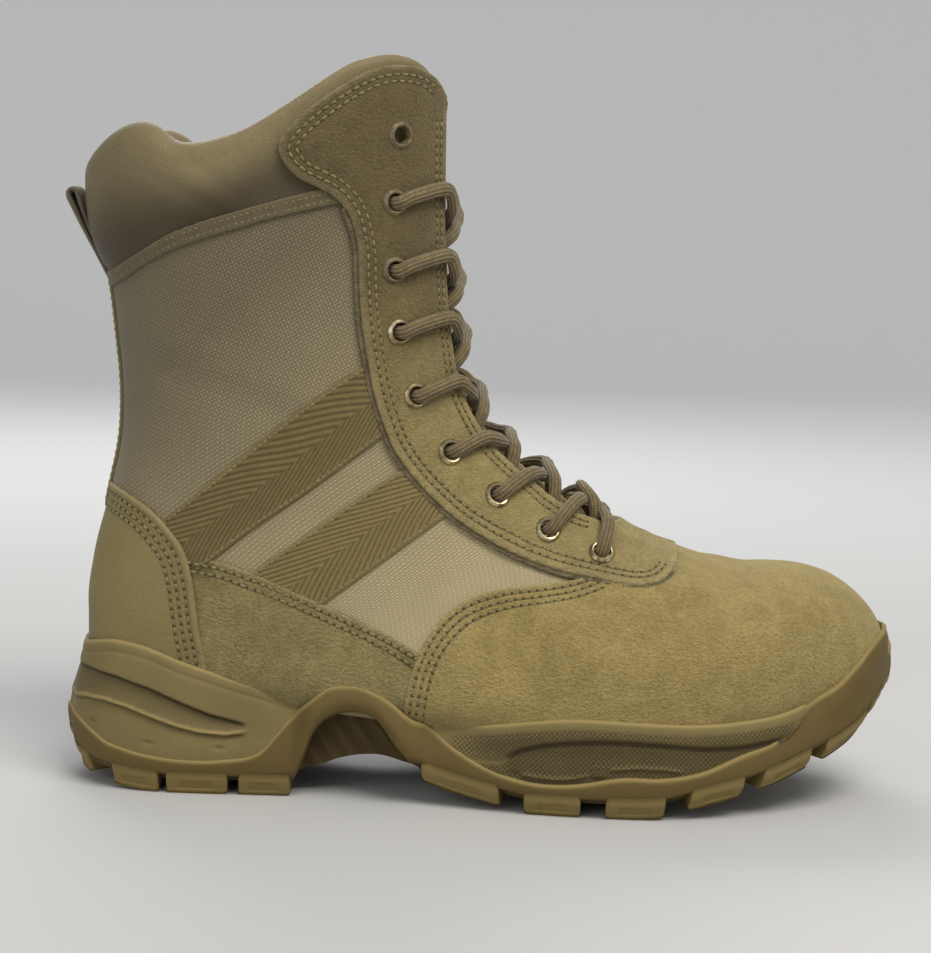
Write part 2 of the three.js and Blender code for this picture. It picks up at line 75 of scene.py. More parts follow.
# ---- The last: one row for each section, as in the part's source ----
# front x, front z, back x, back z, reach outwards, reach inwards, widest place, squareness at ridge, at base
LAST = np.array([
    [-19, 284, -146, 250, 41, 41, 0.46, 2.1, 2.2],
    [-19, 252, -147, 221, 41, 41, 0.46, 2.1, 2.2],
    [-18.5, 226, -144, 200, 40.5, 40.5, 0.46, 2.1, 2.2],
    [-17.5, 204, -139, 182, 40, 40, 0.46, 2.1, 2.2],
    [-15.5, 182, -136, 162, 39, 39, 0.45, 2.1, 2.2],
    [-12.5, 163, -133.8, 143, 38, 38, 0.44, 2.1, 2.3],
    [-7.5, 146, -134, 124, 37, 36.5, 0.42, 2.1, 2.4],
    [3, 130, -137.6, 104, 36, 35.5, 0.4, 2.1, 2.6],
    [14, 120.5, -141, 84, 36, 35, 0.38, 2.1, 2.8],
    [26, 112.5, -143.3, 64, 36.5, 35, 0.37, 2.1, 3],
    [38, 104, -141.5, 45, 37, 35, 0.36, 2.1, 3.2],
    [46, 99, -126, 34, 37, 35, 0.36, 2.1, 3.3],
    [53, 95, -100, 31, 38, 34.5, 0.36, 2.1, 3.4],
    [59, 92.3, -70, 29, 40, 35, 0.35, 2.1, 3.4],
    [64, 90.7, -40, 27, 43, 37.5, 0.34, 2.1, 3.5],
    [69, 89.2, -10, 24, 46.5, 42, 0.33, 2.15, 3.5],
    [75, 87.4, 20, 20, 49, 46, 0.33, 2.2, 3.5],
    [84, 85, 50, 19, 49.2, 49.2, 0.34, 2.25, 3.5],
    [95, 83.2, 76, 21, 46.5, 51, 0.35, 2.3, 3.4],
    [106, 83, 96, 25, 41.5, 50, 0.36, 2.4, 3.2],
    [117, 82.3, 112, 30, 34, 46.3, 0.38, 2.4, 3],
    [128, 79, 126, 34, 25.5, 42, 0.4, 2.4, 2.8],
    [137, 73.3, 136.5, 38.5, 17, 35.5, 0.42, 2.3, 2.6],
    [143.6, 66, 143.4, 43.5, 8.5, 27.5, 0.45, 2.2, 2.4],
    [147.4, 58, 147.4, 50, -1.5, 18, 0.5, 2, 2],
])
PER_ROW = 8  # fine rows between two sections
HALF = 80  # fine columns from the ridge to the base
TOE_DOME = 3.4  # how far the toe rounds out past the last section


# ---- Curves and the last's surface ----
def smooth_rows(rows, at):
    """Catmull-Rom values of a table at fractional row numbers."""
    rows = np.asarray(rows, float)
    at = np.asarray(at, float)
    i = np.clip(np.floor(at).astype(int), 0, len(rows) - 2)
    t = (at - i)[:, None]
    padded = np.vstack([2 * rows[0] - rows[1], rows, 2 * rows[-1] - rows[-2]])
    p0, p1, p2, p3 = padded[i], padded[i + 1], padded[i + 2], padded[i + 3]
    bend = 2 * p0 - 5 * p1 + 4 * p2 - p3
    twist = 3 * p1 - p0 - 3 * p2 + p3
    return 0.5 * (2 * p1 + (p2 - p0) * t + bend * t**2 + twist * t**3)


def resample(points, step):
    """The same open line in even steps of about this length."""
    points = np.asarray(points, float)
    run = np.r_[0, np.cumsum(np.linalg.norm(np.diff(points, axis=0), axis=1))]
    keep = np.r_[True, np.diff(run) > 1e-6]
    run, points = run[keep], points[keep]
    count = max(int(round(run[-1] / step)), 2)
    at = np.linspace(0, run[-1], count + 1)
    return np.column_stack([np.interp(at, run, points[:, k]) for k in range(points.shape[1])])


def curve(points, step=1.5, smooth=True):
    """A smooth open line through the given points."""
    points = np.asarray(points, float)
    if smooth and len(points) > 2:
        fine = np.linspace(0, len(points) - 1, 12 * (len(points) - 1) + 1)
        points = smooth_rows(points, fine)
    return resample(points, step)


def line_at(rows, x):
    rows = np.asarray(rows, float)
    return np.interp(x, rows[:, 0], rows[:, 1])


def bump(x, middle, width):
    """A soft ridge of height one."""
    return np.exp(-(((x - middle) / width) ** 2))


def step_up(x, low, high):
    t = np.clip((x - low) / (high - low), 0, 1)
    return t * t * (3 - 2 * t)


def between(x, low, high, fall, end):
    """Rises from `low` to `high`, and falls again from `fall` to `end`."""
    return step_up(x, low, high) * (1 - step_up(x, fall, end))


class Last:
    """The boot's inner form as a surface: `s` counts sections from the top of the shaft to the toe, `u` is
    the share of the way round from the ridge (0) to the back or base (1), negative on the outer side."""

    def __init__(self):
        steps = (len(LAST) - 1) * PER_ROW
        rows = smooth_rows(LAST, np.linspace(0, len(LAST) - 1, steps + 1))
        angle = np.linspace(0, math.pi, 241)
        rings, self.shares, self.halves = [], [], []
        for front_x, front_z, back_x, back_z, outer, inner, widest, ridge, base in rows:
            power = np.where(angle <= math.pi / 2, 2 / ridge, 2 / base)
            along = np.sign(np.cos(angle)) * np.abs(np.cos(angle)) ** power
            share = widest + along * np.where(along > 0, 1 - widest, widest)
            x = back_x + share * (front_x - back_x)
            z = back_z + share * (front_z - back_z)
            y = (outer + inner) / 2 * np.sin(angle) ** power
            run = np.r_[0, np.cumsum(np.sqrt(np.diff(x) ** 2 + np.diff(y) ** 2 + np.diff(z) ** 2))]
            at = np.linspace(0, run[-1], HALF + 1)
            x, y, z, share = (np.interp(at, run, v) for v in (x, y, z, share))
            middle = (inner - outer) / 2
            half_in = np.column_stack([x, middle + y, z])
            half_out = np.column_stack([x, middle - y, z])
            rings.append(np.vstack([half_in, half_out[-2:0:-1]]))
            self.shares.append(share)
            self.halves.append(run[-1])
        self.front = rows[:, 0:2]
        self.back = rows[:, 2:4]
        tip = rings[-1].mean(axis=0)
        last_ring = rings[-1]
        for k in range(1, PER_ROW + 1):
            turn = math.pi / 2 * k / PER_ROW
            shift = np.array([TOE_DOME * math.sin(turn), 0, 0])
            rings.append(tip + (last_ring - tip) * max(math.cos(turn), 1e-3) + shift)
        self.points = np.array(rings)
        self.sections = len(LAST)  # the dome counts as one more section
        along = np.gradient(self.points, axis=0)
        around = (np.roll(self.points, -1, axis=1) - np.roll(self.points, 1, axis=1)) / 2
        normal = np.cross(along, around)
        normal /= np.linalg.norm(normal, axis=2)[..., None] + 1e-12
        outward = self.points - self.points.mean(axis=1)[:, None, :]
        if (normal * outward).sum() < 0:
            normal = -normal
        normal[-1] = [1, 0, 0]
        self.normals = normal
        self.halves += [self.halves[-1]] * PER_ROW

    def at(self, s, u):
        """Points and normals at arrays of s and u."""
        s = np.clip(np.asarray(s, float), 0, self.sections - 1e-6) * PER_ROW
        c = np.mod(np.asarray(u, float), 2) * HALF
        i, j = np.floor(s).astype(int), np.floor(c).astype(int)
        a, b = (s - i)[:, None], (c - j)[:, None]
        j, k = j % (2 * HALF), (j + 1) % (2 * HALF)

        def mix(grid):
            return ((1 - a) * (1 - b) * grid[i, j] + (1 - a) * b * grid[i, k]
                    + a * (1 - b) * grid[i + 1, j] + a * b * grid[i + 1, k])

        normal = mix(self.normals)
        return mix(self.points), normal / (np.linalg.norm(normal, axis=1)[:, None] + 1e-12)

    def on(self, s, u, lift=0.0):
        point, normal = self.at(s, u)
        return point + normal * np.broadcast_to(lift, len(point))[:, None]

    def half(self, s):
        """Length of the way from ridge to base at a section, for turning a reach into a share."""
        return np.interp(np.asarray(s, float) * PER_ROW, np.arange(len(self.halves)), self.halves)

    def find(self, line):
        """s and u (both positive) of points in the side view."""
        found = []
        run = self.front - self.back
        for x, z in np.asarray(line, float):
            away = np.array([x, z]) - self.back
            cross = run[:, 0] * away[:, 1] - run[:, 1] * away[:, 0]
            share = (run * away).sum(axis=1) / (run**2).sum(axis=1)
            flips = np.nonzero((cross[:-1] * cross[1:] <= 0) & (np.abs(share[:-1] - 0.5) < 1.0))[0]
            if len(flips):
                i = flips[np.argmin(np.abs(share[flips] - 0.5))]
                t = cross[i] / (cross[i] - cross[i + 1] + 1e-12)
                at = i + t
            else:
                at = len(run) - 1 if x > 100 else 0
                i, t = int(min(at, len(run) - 2)), float(at > 0)
            here = (1 - t) * share[i] + t * share[i + 1]
            ring = (1 - t) * self.shares[i] + t * self.shares[i + 1]
            u = np.interp(-here, -ring, np.linspace(0, 1, HALF + 1))
            s = at / PER_ROW
            if x > self.front[-1, 0]:
                s = min(s + (x - self.front[-1, 0]) / TOE_DOME, self.sections - 0.01)
            found.append((s, u))
        return np.array(found)


last = Last()


# ---- Materials ----
class Nodes:
    """A node tree being laid out: calls add nodes, links or values, and return the node."""

    def __init__(self, tree):
        self.tree = tree

    def __call__(self, kind, inputs=None, **settings):
        node = self.tree.nodes.new(kind)
        for name, value in settings.items():
            setattr(node, name, value)
        for key, value in (inputs or {}).items():
            if isinstance(value, bpy.types.NodeSocket):
                self.tree.links.new(value, node.inputs[key])
            else:
                node.inputs[key].default_value = value
        return node

    def link(self, output, socket):
        self.tree.links.new(output, socket)

    def place(self):
        """The object's own coordinates."""
        return self("ShaderNodeTexCoord").outputs["Object"]

    def value(self, name):
        """A value that the mesh holds at its points."""
        return self("ShaderNodeAttribute", attribute_name=name).outputs["Fac"]

    def times(self, a, b):
        return self.math("MULTIPLY", a, b)

    def math(self, operation, *values, clamp=False):
        inputs = dict(enumerate(values))
        return self("ShaderNodeMath", inputs, operation=operation, use_clamp=clamp).outputs[0]

    def mix(self, share, low, high, blend="MIX"):
        node = self("ShaderNodeMix", data_type="RGBA", blend_type=blend)
        for key, value in zip((0, 6, 7), (share, low, high)):
            if isinstance(value, bpy.types.NodeSocket):
                self.tree.links.new(value, node.inputs[key])
            else:
                node.inputs[key].default_value = (*value, 1) if isinstance(value, tuple) else value
        return node.outputs[2]

    def spread(self, value, low, high, to_low=0.0, to_high=1.0):
        inputs = {0: value, 1: low, 2: high, 3: to_low, 4: to_high}
        return self("ShaderNodeMapRange", inputs).outputs[0]


def group(name, inputs, outputs):
    """A shader node group with named sockets; gives its nodes, its input node and its output node."""
    tree = bpy.data.node_groups.new(name, "ShaderNodeTree")
    for label, value in inputs.items():
        kind = "NodeSocketColor" if isinstance(value, tuple) else "NodeSocketFloat"
        socket = tree.interface.new_socket(label, in_out="INPUT", socket_type=kind)
        socket.default_value = (*value, 1) if isinstance(value, tuple) else value
    for label, kind in outputs.items():
        tree.interface.new_socket(label, in_out="OUTPUT", socket_type=f"NodeSocket{kind}")
    n = Nodes(tree)
    return n, n("NodeGroupInput").outputs, n("NodeGroupOutput").inputs


def noise(n, vector, scale, detail=3.0, rough=0.55, distortion=0.0):
    inputs = {"Vector": vector, "Scale": scale, "Detail": detail, "Roughness": rough}
    inputs["Distortion"] = distortion
    return n("ShaderNodeTexNoise", inputs).outputs["Fac"]


def make_nap_group():
    """Brushed suede: soft blotches and a rough grain of short fibres."""
    inputs = {"Colour": SUEDE, "Shade": SUEDE_DARK, "Rub": 0.5, "Comb": 1.0}
    n, given, gives = group("suede nap", inputs, {"Colour": "Color", "Height": "Float"})
    place = n.place()
    blotch = n.spread(noise(n, place, 34, 4), 0.34, 0.68)
    patch = n.spread(noise(n, place, 150, 3, 0.6), 0.36, 0.66)
    turned = n("ShaderNodeMapping", {"Vector": place, "Rotation": (0.0, 0.4, 0.0),
                                     "Scale": (0.85, 1.0, 1.15)}).outputs[0]
    clump = n.spread(noise(n, turned, 820, 1, 0.5), 0.28, 0.72)
    fibre = n.spread(noise(n, turned, 1900, 1, 0.5), 0.25, 0.75)
    tone = n.math("ADD", n.times(blotch, 0.22), n.times(patch, 0.2))
    tone = n.math("ADD", tone, n.times(clump, 0.28))
    tone = n.math("ADD", tone, n.times(fibre, 0.3))
    colour = n.mix(n.spread(tone, 0.22, 0.78), given["Shade"], given["Colour"])
    warm = n.spread(noise(n, place, 21, 2), 0.45, 0.7)
    colour = n.mix(n.times(warm, n.times(given["Rub"], 0.4)), colour,
                   (0.33, 0.235, 0.09))
    n.link(colour, gives["Colour"])
    height = n.math("ADD", n.times(clump, 0.8), n.times(fibre, 0.8))
    n.link(n.times(height, given["Comb"]), gives["Height"])
    return n.tree


def make_grain_group():
    """Fine leather grain: small cells with soft creases and a slow change of tone."""
    inputs = {"Colour": COLLAR_LEATHER, "Shade": (0.05, 0.04, 0.02), "Cells": 900.0, "Tone": 0.4}
    n, given, gives = group("leather grain", inputs, {"Colour": "Color", "Height": "Float"})
    place = n.place()
    cells = n("ShaderNodeTexVoronoi", {"Vector": place, "Scale": given["Cells"]},
              feature="DISTANCE_TO_EDGE").outputs["Distance"]
    crease = n.spread(cells, 0.0, 0.22)
    slow = n.spread(noise(n, place, 24, 4, 0.6), 0.36, 0.66)
    fine = n.spread(noise(n, place, 620, 3), 0.3, 0.7)
    tone = n.math("ADD", n.times(slow, 0.7), n.times(fine, 0.3))
    dark = n.times(n.math("SUBTRACT", 1.0, tone), given["Tone"])
    colour = n.mix(dark, given["Colour"], given["Shade"])
    colour = n.mix(n.times(n.math("SUBTRACT", 1.0, crease), 0.12), colour, given["Shade"])
    n.link(colour, gives["Colour"])
    n.link(n.math("ADD", crease, n.times(fine, 0.5)), gives["Height"])
    return n.tree


def make_weave_group():
    """A plain weave of round yarns on the piece's own map, whose unit is ten millimetres."""
    inputs = {"Colour": FABRIC, "Shade": (0.06, 0.048, 0.028), "Yarns": 9.0, "Turn": 0.42, "Fleck": 0.5}
    n, given, gives = group("woven yarns", inputs, {"Colour": "Color", "Height": "Float"})
    place = n("ShaderNodeUVMap", uv_map="map").outputs[0]
    turn = n("ShaderNodeCombineXYZ", {2: given["Turn"]}).outputs[0]
    turned = n("ShaderNodeMapping", {"Vector": place, "Rotation": turn}).outputs[0]
    wobble = n("ShaderNodeTexNoise", {"Vector": turned, "Scale": 1.4}).outputs["Color"]
    wobble = n("ShaderNodeVectorMath", {0: wobble, 1: (0.05, 0.05, 0)}, operation="MULTIPLY").outputs[0]
    turned = n("ShaderNodeVectorMath", {0: turned, 1: wobble}, operation="ADD").outputs[0]
    axes = n("ShaderNodeSeparateXYZ", {0: turned}).outputs
    waves = []
    for axis in (0, 1):
        phase = n.times(n.times(axes[axis], given["Yarns"]), math.pi)
        waves.append(n.math("SINE", phase))
    over = n.times(waves[0], waves[1])
    crown = n.math("ABSOLUTE", over)
    lift = n.spread(over, -1.0, 1.0)
    shine = n.spread(n.math("ADD", n.times(crown, 0.7), n.times(lift, 0.5)),
                     0.08, 0.75)
    slow = n.spread(noise(n, n.place(), 45, 3), 0.35, 0.7)
    fleck = n.spread(noise(n, n("ShaderNodeMapping", {"Vector": turned, "Scale": (5, 40, 1)}).outputs[0],
                           1.0, 2), 0.3, 0.72)
    colour = n.mix(shine, given["Shade"], given["Colour"])
    shade = n.times(n.math("SUBTRACT", 1.0, fleck), n.times(given["Fleck"], 0.5))
    colour = n.mix(shade, colour, given["Shade"])
    colour = n.mix(n.times(n.math("SUBTRACT", 1.0, slow), 0.16), colour, given["Shade"])
    n.link(colour, gives["Colour"])
    n.link(shine, gives["Height"])
    return n.tree


def make_edge_group():
    """Edge wear: a paler worn rim and a dark cut edge, from the piece's own `rim` value and its dark-edge
    value; on the webbing straps the dark value is a painted shade in the rib grooves.
    """
    inputs = {"Colour": SUEDE, "Worn": (0.4, 0.34, 0.2), "Raw": (0.07, 0.055, 0.03), "Amount": 0.5}
    n, given, gives = group("edge wear and shade", inputs, {"Colour": "Color"})
    place = n.place()
    rim = n.value("rim")
    raw_edge_and_shade = n.value("raw_edge_and_shade")
    rough = n.spread(noise(n, place, 300, 3), 0.35, 0.65, 0.35, 1.0)
    worn = n.times(n.times(rim, rough), given["Amount"])
    colour = n.mix(worn, given["Colour"], given["Worn"])
    layers = n.spread(noise(n, place, 1300, 2), 0.35, 0.6, 0.45, 1.0)
    colour = n.mix(n.times(raw_edge_and_shade, layers), colour, given["Raw"])
    n.link(colour, gives["Colour"])
    return n.tree


def make_dust_group():
    """Dry dust on rubber and foam: slow cloudy marks and fine specks."""
    inputs = {"Colour": RUBBER, "Dust": (0.28, 0.215, 0.105), "Amount": 0.25, "Mould": 0.5}
    n, given, gives = group("dry dust", inputs, {"Colour": "Color", "Height": "Float", "Mask": "Float"})
    place = n.place()
    cloud = n.spread(noise(n, place, 30, 5, 0.65), 0.42, 0.75)
    speck = n.spread(noise(n, place, 900, 2), 0.5, 0.75)
    mask = n.math("ADD", cloud, n.times(speck, 0.35), clamp=True)
    colour = n.mix(n.times(mask, given["Amount"]), given["Colour"], given["Dust"])
    shade = n.spread(noise(n, place, 55, 3), 0.3, 0.7, 0.0, 0.18)
    colour = n.mix(shade, colour, (0.04, 0.03, 0.015))
    n.link(colour, gives["Colour"])
    n.link(mask, gives["Mask"])
    n.link(n.times(noise(n, place, 1500, 3), given["Mould"]), gives["Height"])
    return n.tree


GROUPS = {
    "nap": make_nap_group(),
    "grain": make_grain_group(),
    "weave": make_weave_group(),
    "edge": make_edge_group(),
    "dust": make_dust_group(),
}


def surface(name, roughness, **settings):
    """A material with its Principled shader; settings are the shader's own constant values."""
    material = bpy.data.materials.new(name)
    material.use_nodes = True
    n = Nodes(material.node_tree)
    shader = next(x for x in n.tree.nodes if x.type == "BSDF_PRINCIPLED")
    shader.inputs["Roughness"].default_value = roughness
    for label, value in settings.items():
        shader.inputs[label.replace("_", " ")].default_value = value
    return material, n, shader


def placed(n, which, **inputs):
    node = n("ShaderNodeGroup", node_tree=GROUPS[which])
    for label, value in inputs.items():
        if isinstance(value, bpy.types.NodeSocket):
            n.link(value, node.inputs[label])
        else:
            node.inputs[label].default_value = (*value, 1) if isinstance(value, tuple) else value
    return node.outputs


def bumped(n, shader, height, distance, strength=1.0):
    """Relief of this depth, in metres."""
    inputs = {"Height": height, "Distance": distance, "Strength": strength}
    n.link(n("ShaderNodeBump", inputs).outputs[0], shader.inputs["Normal"])


def suede(name, colour, shade, comb=1.0, rub=0.5, upper_shade=None):
    """Rough suede; the colour given last is a painted shade that it darkens to towards the top of the boot.
    """
    material, n, shader = surface(name, 0.95, Specular_IOR_Level=0.2, Sheen_Weight=0.25,
                                  Sheen_Roughness=0.5, Sheen_Tint=(0.9, 0.8, 0.55, 1))
    nap = placed(n, "nap", Colour=colour, Shade=shade, Comb=comb, Rub=rub)
    colour = nap["Colour"]
    # painted shade: the suede darkens towards the top of the boot
    if upper_shade:
        place = n.place()
        tall = n("ShaderNodeSeparateXYZ", {0: place}).outputs[2]
        wander = n.math("MULTIPLY_ADD", noise(n, place, 45, 2), 0.05, tall)
        colour = n.mix(n.spread(wander, 0.15, 0.215), colour, n.mix(1.0, colour, upper_shade, "MULTIPLY"))
    edge = placed(n, "edge", Colour=colour, Amount=0.45)
    n.link(edge["Colour"], shader.inputs["Base Color"])
    bumped(n, shader, nap["Height"], 0.0004, 1.0)
    return material


def leather(name, colour, shade, roughness, cells, tone, depth=0.00012):
    material, n, shader = surface(name, roughness, Specular_IOR_Level=0.35)
    grain = placed(n, "grain", Colour=colour, Shade=shade, Cells=cells, Tone=tone)
    # painted shade: the collar's outside darkens towards its seam, where it is shaded
    lower_shade = n.value("lower_shade")
    tone = n.mix(n.times(lower_shade, 0.85), grain["Colour"], (0.032, 0.021, 0.008))
    edge = placed(n, "edge", Colour=tone, Amount=0.25)
    n.link(edge["Colour"], shader.inputs["Base Color"])
    bumped(n, shader, grain["Height"], depth, 0.7)
    return material


def cloth(name, colour, shade, yarns, turn, depth, fleck=0.5, roughness=0.85, painted_light=None):
    """Woven cloth; the last argument gives painted shade and painted light: how dark it is at the top of the
    shaft and how pale over the instep.
    """
    material, n, shader = surface(name, roughness, Specular_IOR_Level=0.3, Sheen_Weight=0.15)
    tones = [colour, shade]
    # painted light and shade: darker up and back on the shaft, paler low and in front
    if painted_light:
        place = n("ShaderNodeSeparateXYZ", {0: n.place()}).outputs
        share = n.spread(n.math("SUBTRACT", place[0], place[2]), -0.265, -0.085)
        tones = [n.mix(share, *(tuple(k * c for c in tone) for k in painted_light)) for tone in tones]
    weave = placed(n, "weave", Colour=tones[0], Shade=tones[1], Yarns=yarns, Turn=turn, Fleck=fleck)
    worn, raw_edge_and_shade = tuple(min(1.7 * c, 1) for c in colour), tuple(0.22 * c for c in colour)
    edge = placed(n, "edge", Colour=weave["Colour"], Amount=0.3, Worn=worn, Raw=raw_edge_and_shade)
    n.link(edge["Colour"], shader.inputs["Base Color"])
    bumped(n, shader, weave["Height"], depth)
    return material


def moulded(name, colour, roughness, dust, knurl=False):
    material, n, shader = surface(name, roughness, Specular_IOR_Level=0.2)
    dirt = placed(n, "dust", Colour=colour, Amount=dust)
    # painted highlights from the rim value and painted shade from the dark-edge value, mixed into the colour
    rim = n.value("rim")
    dark = n.value("raw_edge_and_shade")
    shade = n.mix(n.times(rim, 0.6), dirt["Colour"], (0.34, 0.255, 0.095))
    shade = n.mix(n.times(dark, 0.9), shade, (0.030, 0.021, 0.009))
    height = dirt["Height"]
    if knurl:
        place = n("ShaderNodeUVMap", uv_map="map").outputs[0]
        turned = n("ShaderNodeMapping", {"Vector": place, "Rotation": (0, 0, 0.8)}).outputs[0]
        axes = n("ShaderNodeSeparateXYZ", {0: turned}).outputs
        lines = [n.math("ABSOLUTE", n.math("SINE", n.times(a, math.pi * 8.0))) for a in axes[:2]]
        cells = n.math("MINIMUM", lines[0], lines[1])
        mask = n.value("knurl")
        relief = n.times(n.spread(cells, 0.0, 0.5), mask)
        # painted shade in the knurl's grooves
        groove = n.times(n.spread(cells, 0.32, 0.0), mask)
        shade = n.mix(n.times(groove, 0.4), shade, (0.06, 0.046, 0.020))
        height = n.math("ADD", n.times(relief, 2.4), height)
    n.link(shade, shader.inputs["Base Color"])
    n.link(n.spread(dirt["Mask"], 0.0, 1.0, roughness, min(roughness + 0.2, 1)),
                     shader.inputs["Roughness"])
    bumped(n, shader, height, 0.00016)
    return material


def plain_metal():
    material, n, shader = surface("antique brass", 0.34, Metallic=1.0)
    place = n.place()
    tarnish = n.spread(noise(n, place, 420, 4), 0.38, 0.66)
    colour = n.mix(tarnish, (0.20, 0.15, 0.075), (0.62, 0.53, 0.34))
    n.link(colour, shader.inputs["Base Color"])
    n.link(n.spread(tarnish, 0.0, 1.0, 0.5, 0.28), shader.inputs["Roughness"])
    return material


def painted_metal():
    material, n, shader = surface("painted eyelet", 0.42, Specular_IOR_Level=0.5)
    place = n.place()
    chip = n.spread(noise(n, place, 520, 4), 0.4, 0.7)
    n.link(n.mix(chip, (0.095, 0.070, 0.030), (0.20, 0.155, 0.075)), shader.inputs["Base Color"])
    return material


def thread_material(name, colour, twist):
    """Twisted thread or braid: fine slanting plies on the piece's own map."""
    material, n, shader = surface(name, 0.8, Specular_IOR_Level=0.3, Sheen_Weight=0.2)
    place = n("ShaderNodeUVMap", uv_map="map").outputs[0]
    axes = n("ShaderNodeSeparateXYZ", {0: place}).outputs
    plies = []
    for sign in (1, -1):
        slant = n.math("MULTIPLY_ADD", axes[1], 6.0 * sign, n.times(axes[0], twist))
        plies.append(n.math("SINE", n.times(slant, math.pi)))
    ply = n.spread(n.times(plies[0], plies[1]), -0.8, 0.8)
    mottle = n.spread(noise(n, n.place(), 500, 2), 0.3, 0.7)
    dark = tuple(0.45 * c for c in colour)
    shade = n.mix(n.math("ADD", n.times(ply, 0.3), n.times(mottle, 0.7)), dark, colour)
    # painted shade: darker in the grooves between a cord's ribs
    groove = n.value("raw_edge_and_shade")
    shade = n.mix(n.times(groove, 0.9), shade, tuple(0.25 * c for c in colour))
    n.link(shade, shader.inputs["Base Color"])
    bumped(n, shader, ply, 0.00007)
    return material


MATERIALS = {
    "vamp": suede("vamp suede", (0.345, 0.262, 0.100), (0.200, 0.150, 0.052), 1.0, 0.5),
    "quarter": suede("quarter suede", (0.275, 0.222, 0.092), (0.160, 0.127, 0.050), 1.0, 0.2),
    # the facing's last colour is its painted shade towards the top of the boot
    "facing": suede("facing suede", (0.300, 0.236, 0.098), (0.190, 0.146, 0.058), 0.8, 0.3,
                    (0.42, 0.41, 0.44)),
    "backing": suede("cut leather edge", (0.090, 0.066, 0.028), (0.045, 0.033, 0.014), 1.0, 0.0),
    "counter": leather("counter leather", COUNTER_LEATHER, (0.12, 0.094, 0.038), 0.62, 700.0, 0.35),
    "collar": leather("collar leather", COLLAR_LEATHER, (0.075, 0.058, 0.026), 0.5, 1100.0, 0.4),
    # the shaft fabric and the webbing carry painted shade up the shaft and painted light low in front
    "fabric": cloth("shaft fabric", (0.282, 0.230, 0.132), (0.118, 0.095, 0.051), 8.5, 0.36, 0.00025,
                    painted_light=(0.68, 1.95)),
    "lining": cloth("lining mesh", LINING, (0.03, 0.024, 0.014), 5.0, 0.78, 0.0003),
    "webbing": cloth("webbing", (0.228, 0.168, 0.062), (0.120, 0.089, 0.031), 14.0, 0.0, 0.0001, 0.6,
                     painted_light=(0.36, 1.42)),
    "loop": cloth("loop webbing", (0.170, 0.135, 0.080), (0.080, 0.062, 0.034), 14.0, 0.0, 0.0001, 0.6),
    "binding": cloth("binding tape", (0.135, 0.108, 0.055), (0.05, 0.04, 0.020), 12.0, 0.3, 0.00012, 0.6),
    "thread": thread_material("sewing thread", THREAD, 9.0),
    "cord": thread_material("braided cord", CORD, 11.0),
    "metal": plain_metal(),
    "painted": painted_metal(),
    "rubber": moulded("outsole rubber", RUBBER, 0.66, 0.14),
    "foam": moulded("midsole foam", FOAM, 0.62, 0.12, knurl=True),
}


# ---- Meshes on the last ----
def added(name, data):
    """A new object in the scene that holds this data."""
    thing = bpy.data.objects.new(name, data)
    bpy.context.scene.collection.objects.link(thing)
    return thing


def make_object(name, points, faces, material, uv=None, values=None, angle=50, metres=False):
    """A finished piece from points in the last's millimetres, smooth but for its sharp folds."""
    points = np.asarray(points, float)
    if not metres:
        points = (points + ORIGIN) * MM
    mesh = bpy.data.meshes.new(name)
    mesh.from_pydata([tuple(p) for p in points], [], [tuple(f) for f in faces])
    if uv is not None:
        layer = mesh.uv_layers.new(name="map")
        corners = np.zeros(len(mesh.loops), int)
        mesh.loops.foreach_get("vertex_index", corners)
        layer.data.foreach_set("uv", np.asarray(uv, float)[corners].ravel())
    for label, amount in (values or {}).items():
        attribute = mesh.attributes.new(label, "FLOAT", "POINT")
        attribute.data.foreach_set("value", np.asarray(amount, float))
    mesh.validate()
    return finish(added(name, mesh), material, angle)


def tube_faces(count, size):
    """Faces of a tube of `count` closed rings with `size` points each, and its two ends."""
    faces = []
    for start in range(0, (count - 1) * size, size):
        for k in range(size):
            a, b = start + k, start + (k + 1) % size
            faces.append((a, b, b + size, a + size))
    ends = tuple(range(size - 1, -1, -1)), tuple(range((count - 1) * size, count * size))
    return faces + list(ends)


def finish(piece, material, angle=50):
    piece.data.materials.clear()
    piece.data.materials.append(MATERIALS[material])
    choose(piece)
    bpy.ops.object.shade_smooth_by_angle(angle=math.radians(angle))
    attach(piece, "root")
    return piece


def choose(*pieces):
    """Only these objects are selected, and the first is active."""
    bpy.ops.object.select_all(action="DESELECT")
    for piece in pieces:
        piece.select_set(True)
    bpy.context.view_layer.objects.active = pieces[0]


def face_outwards(piece):
    choose(piece)
    bpy.ops.object.mode_set(mode="EDIT")
    bpy.ops.mesh.select_all(action="SELECT")
    bpy.ops.mesh.normals_make_consistent(inside=False)
    bpy.ops.object.mode_set(mode="OBJECT")


def with_modifier(piece, kind, **settings):
    choose(piece)
    modifier = piece.modifiers.new(kind.title(), kind)
    for name, value in settings.items():
        setattr(modifier, name, value)
    bpy.ops.object.modifier_apply(modifier=modifier.name)
    return piece


S_UNIT, U_UNIT = 15.0, 112.0  # rough millimetres of one section and of the half way round


def to_plane(line):
    return np.asarray(line, float) * [S_UNIT, U_UNIT]


def even(line, step, closed=False):
    """A line in s and u, resampled in even true steps."""
    line = np.asarray(line, float)
    if closed:
        line = np.vstack([line, line[:1]])
    points, _ = last.at(line[:, 0], line[:, 1])
    run = np.r_[0, np.cumsum(np.linalg.norm(np.diff(points, axis=0), axis=1))]
    keep = np.r_[True, np.diff(run) > 1e-5]
    run, line = run[keep], line[keep]
    at = np.linspace(0, run[-1], max(int(round(run[-1] / step)), 3) + 1)
    line = np.column_stack([np.interp(at, run, line[:, k]) for k in (0, 1)])
    return line[:-1] if closed else line


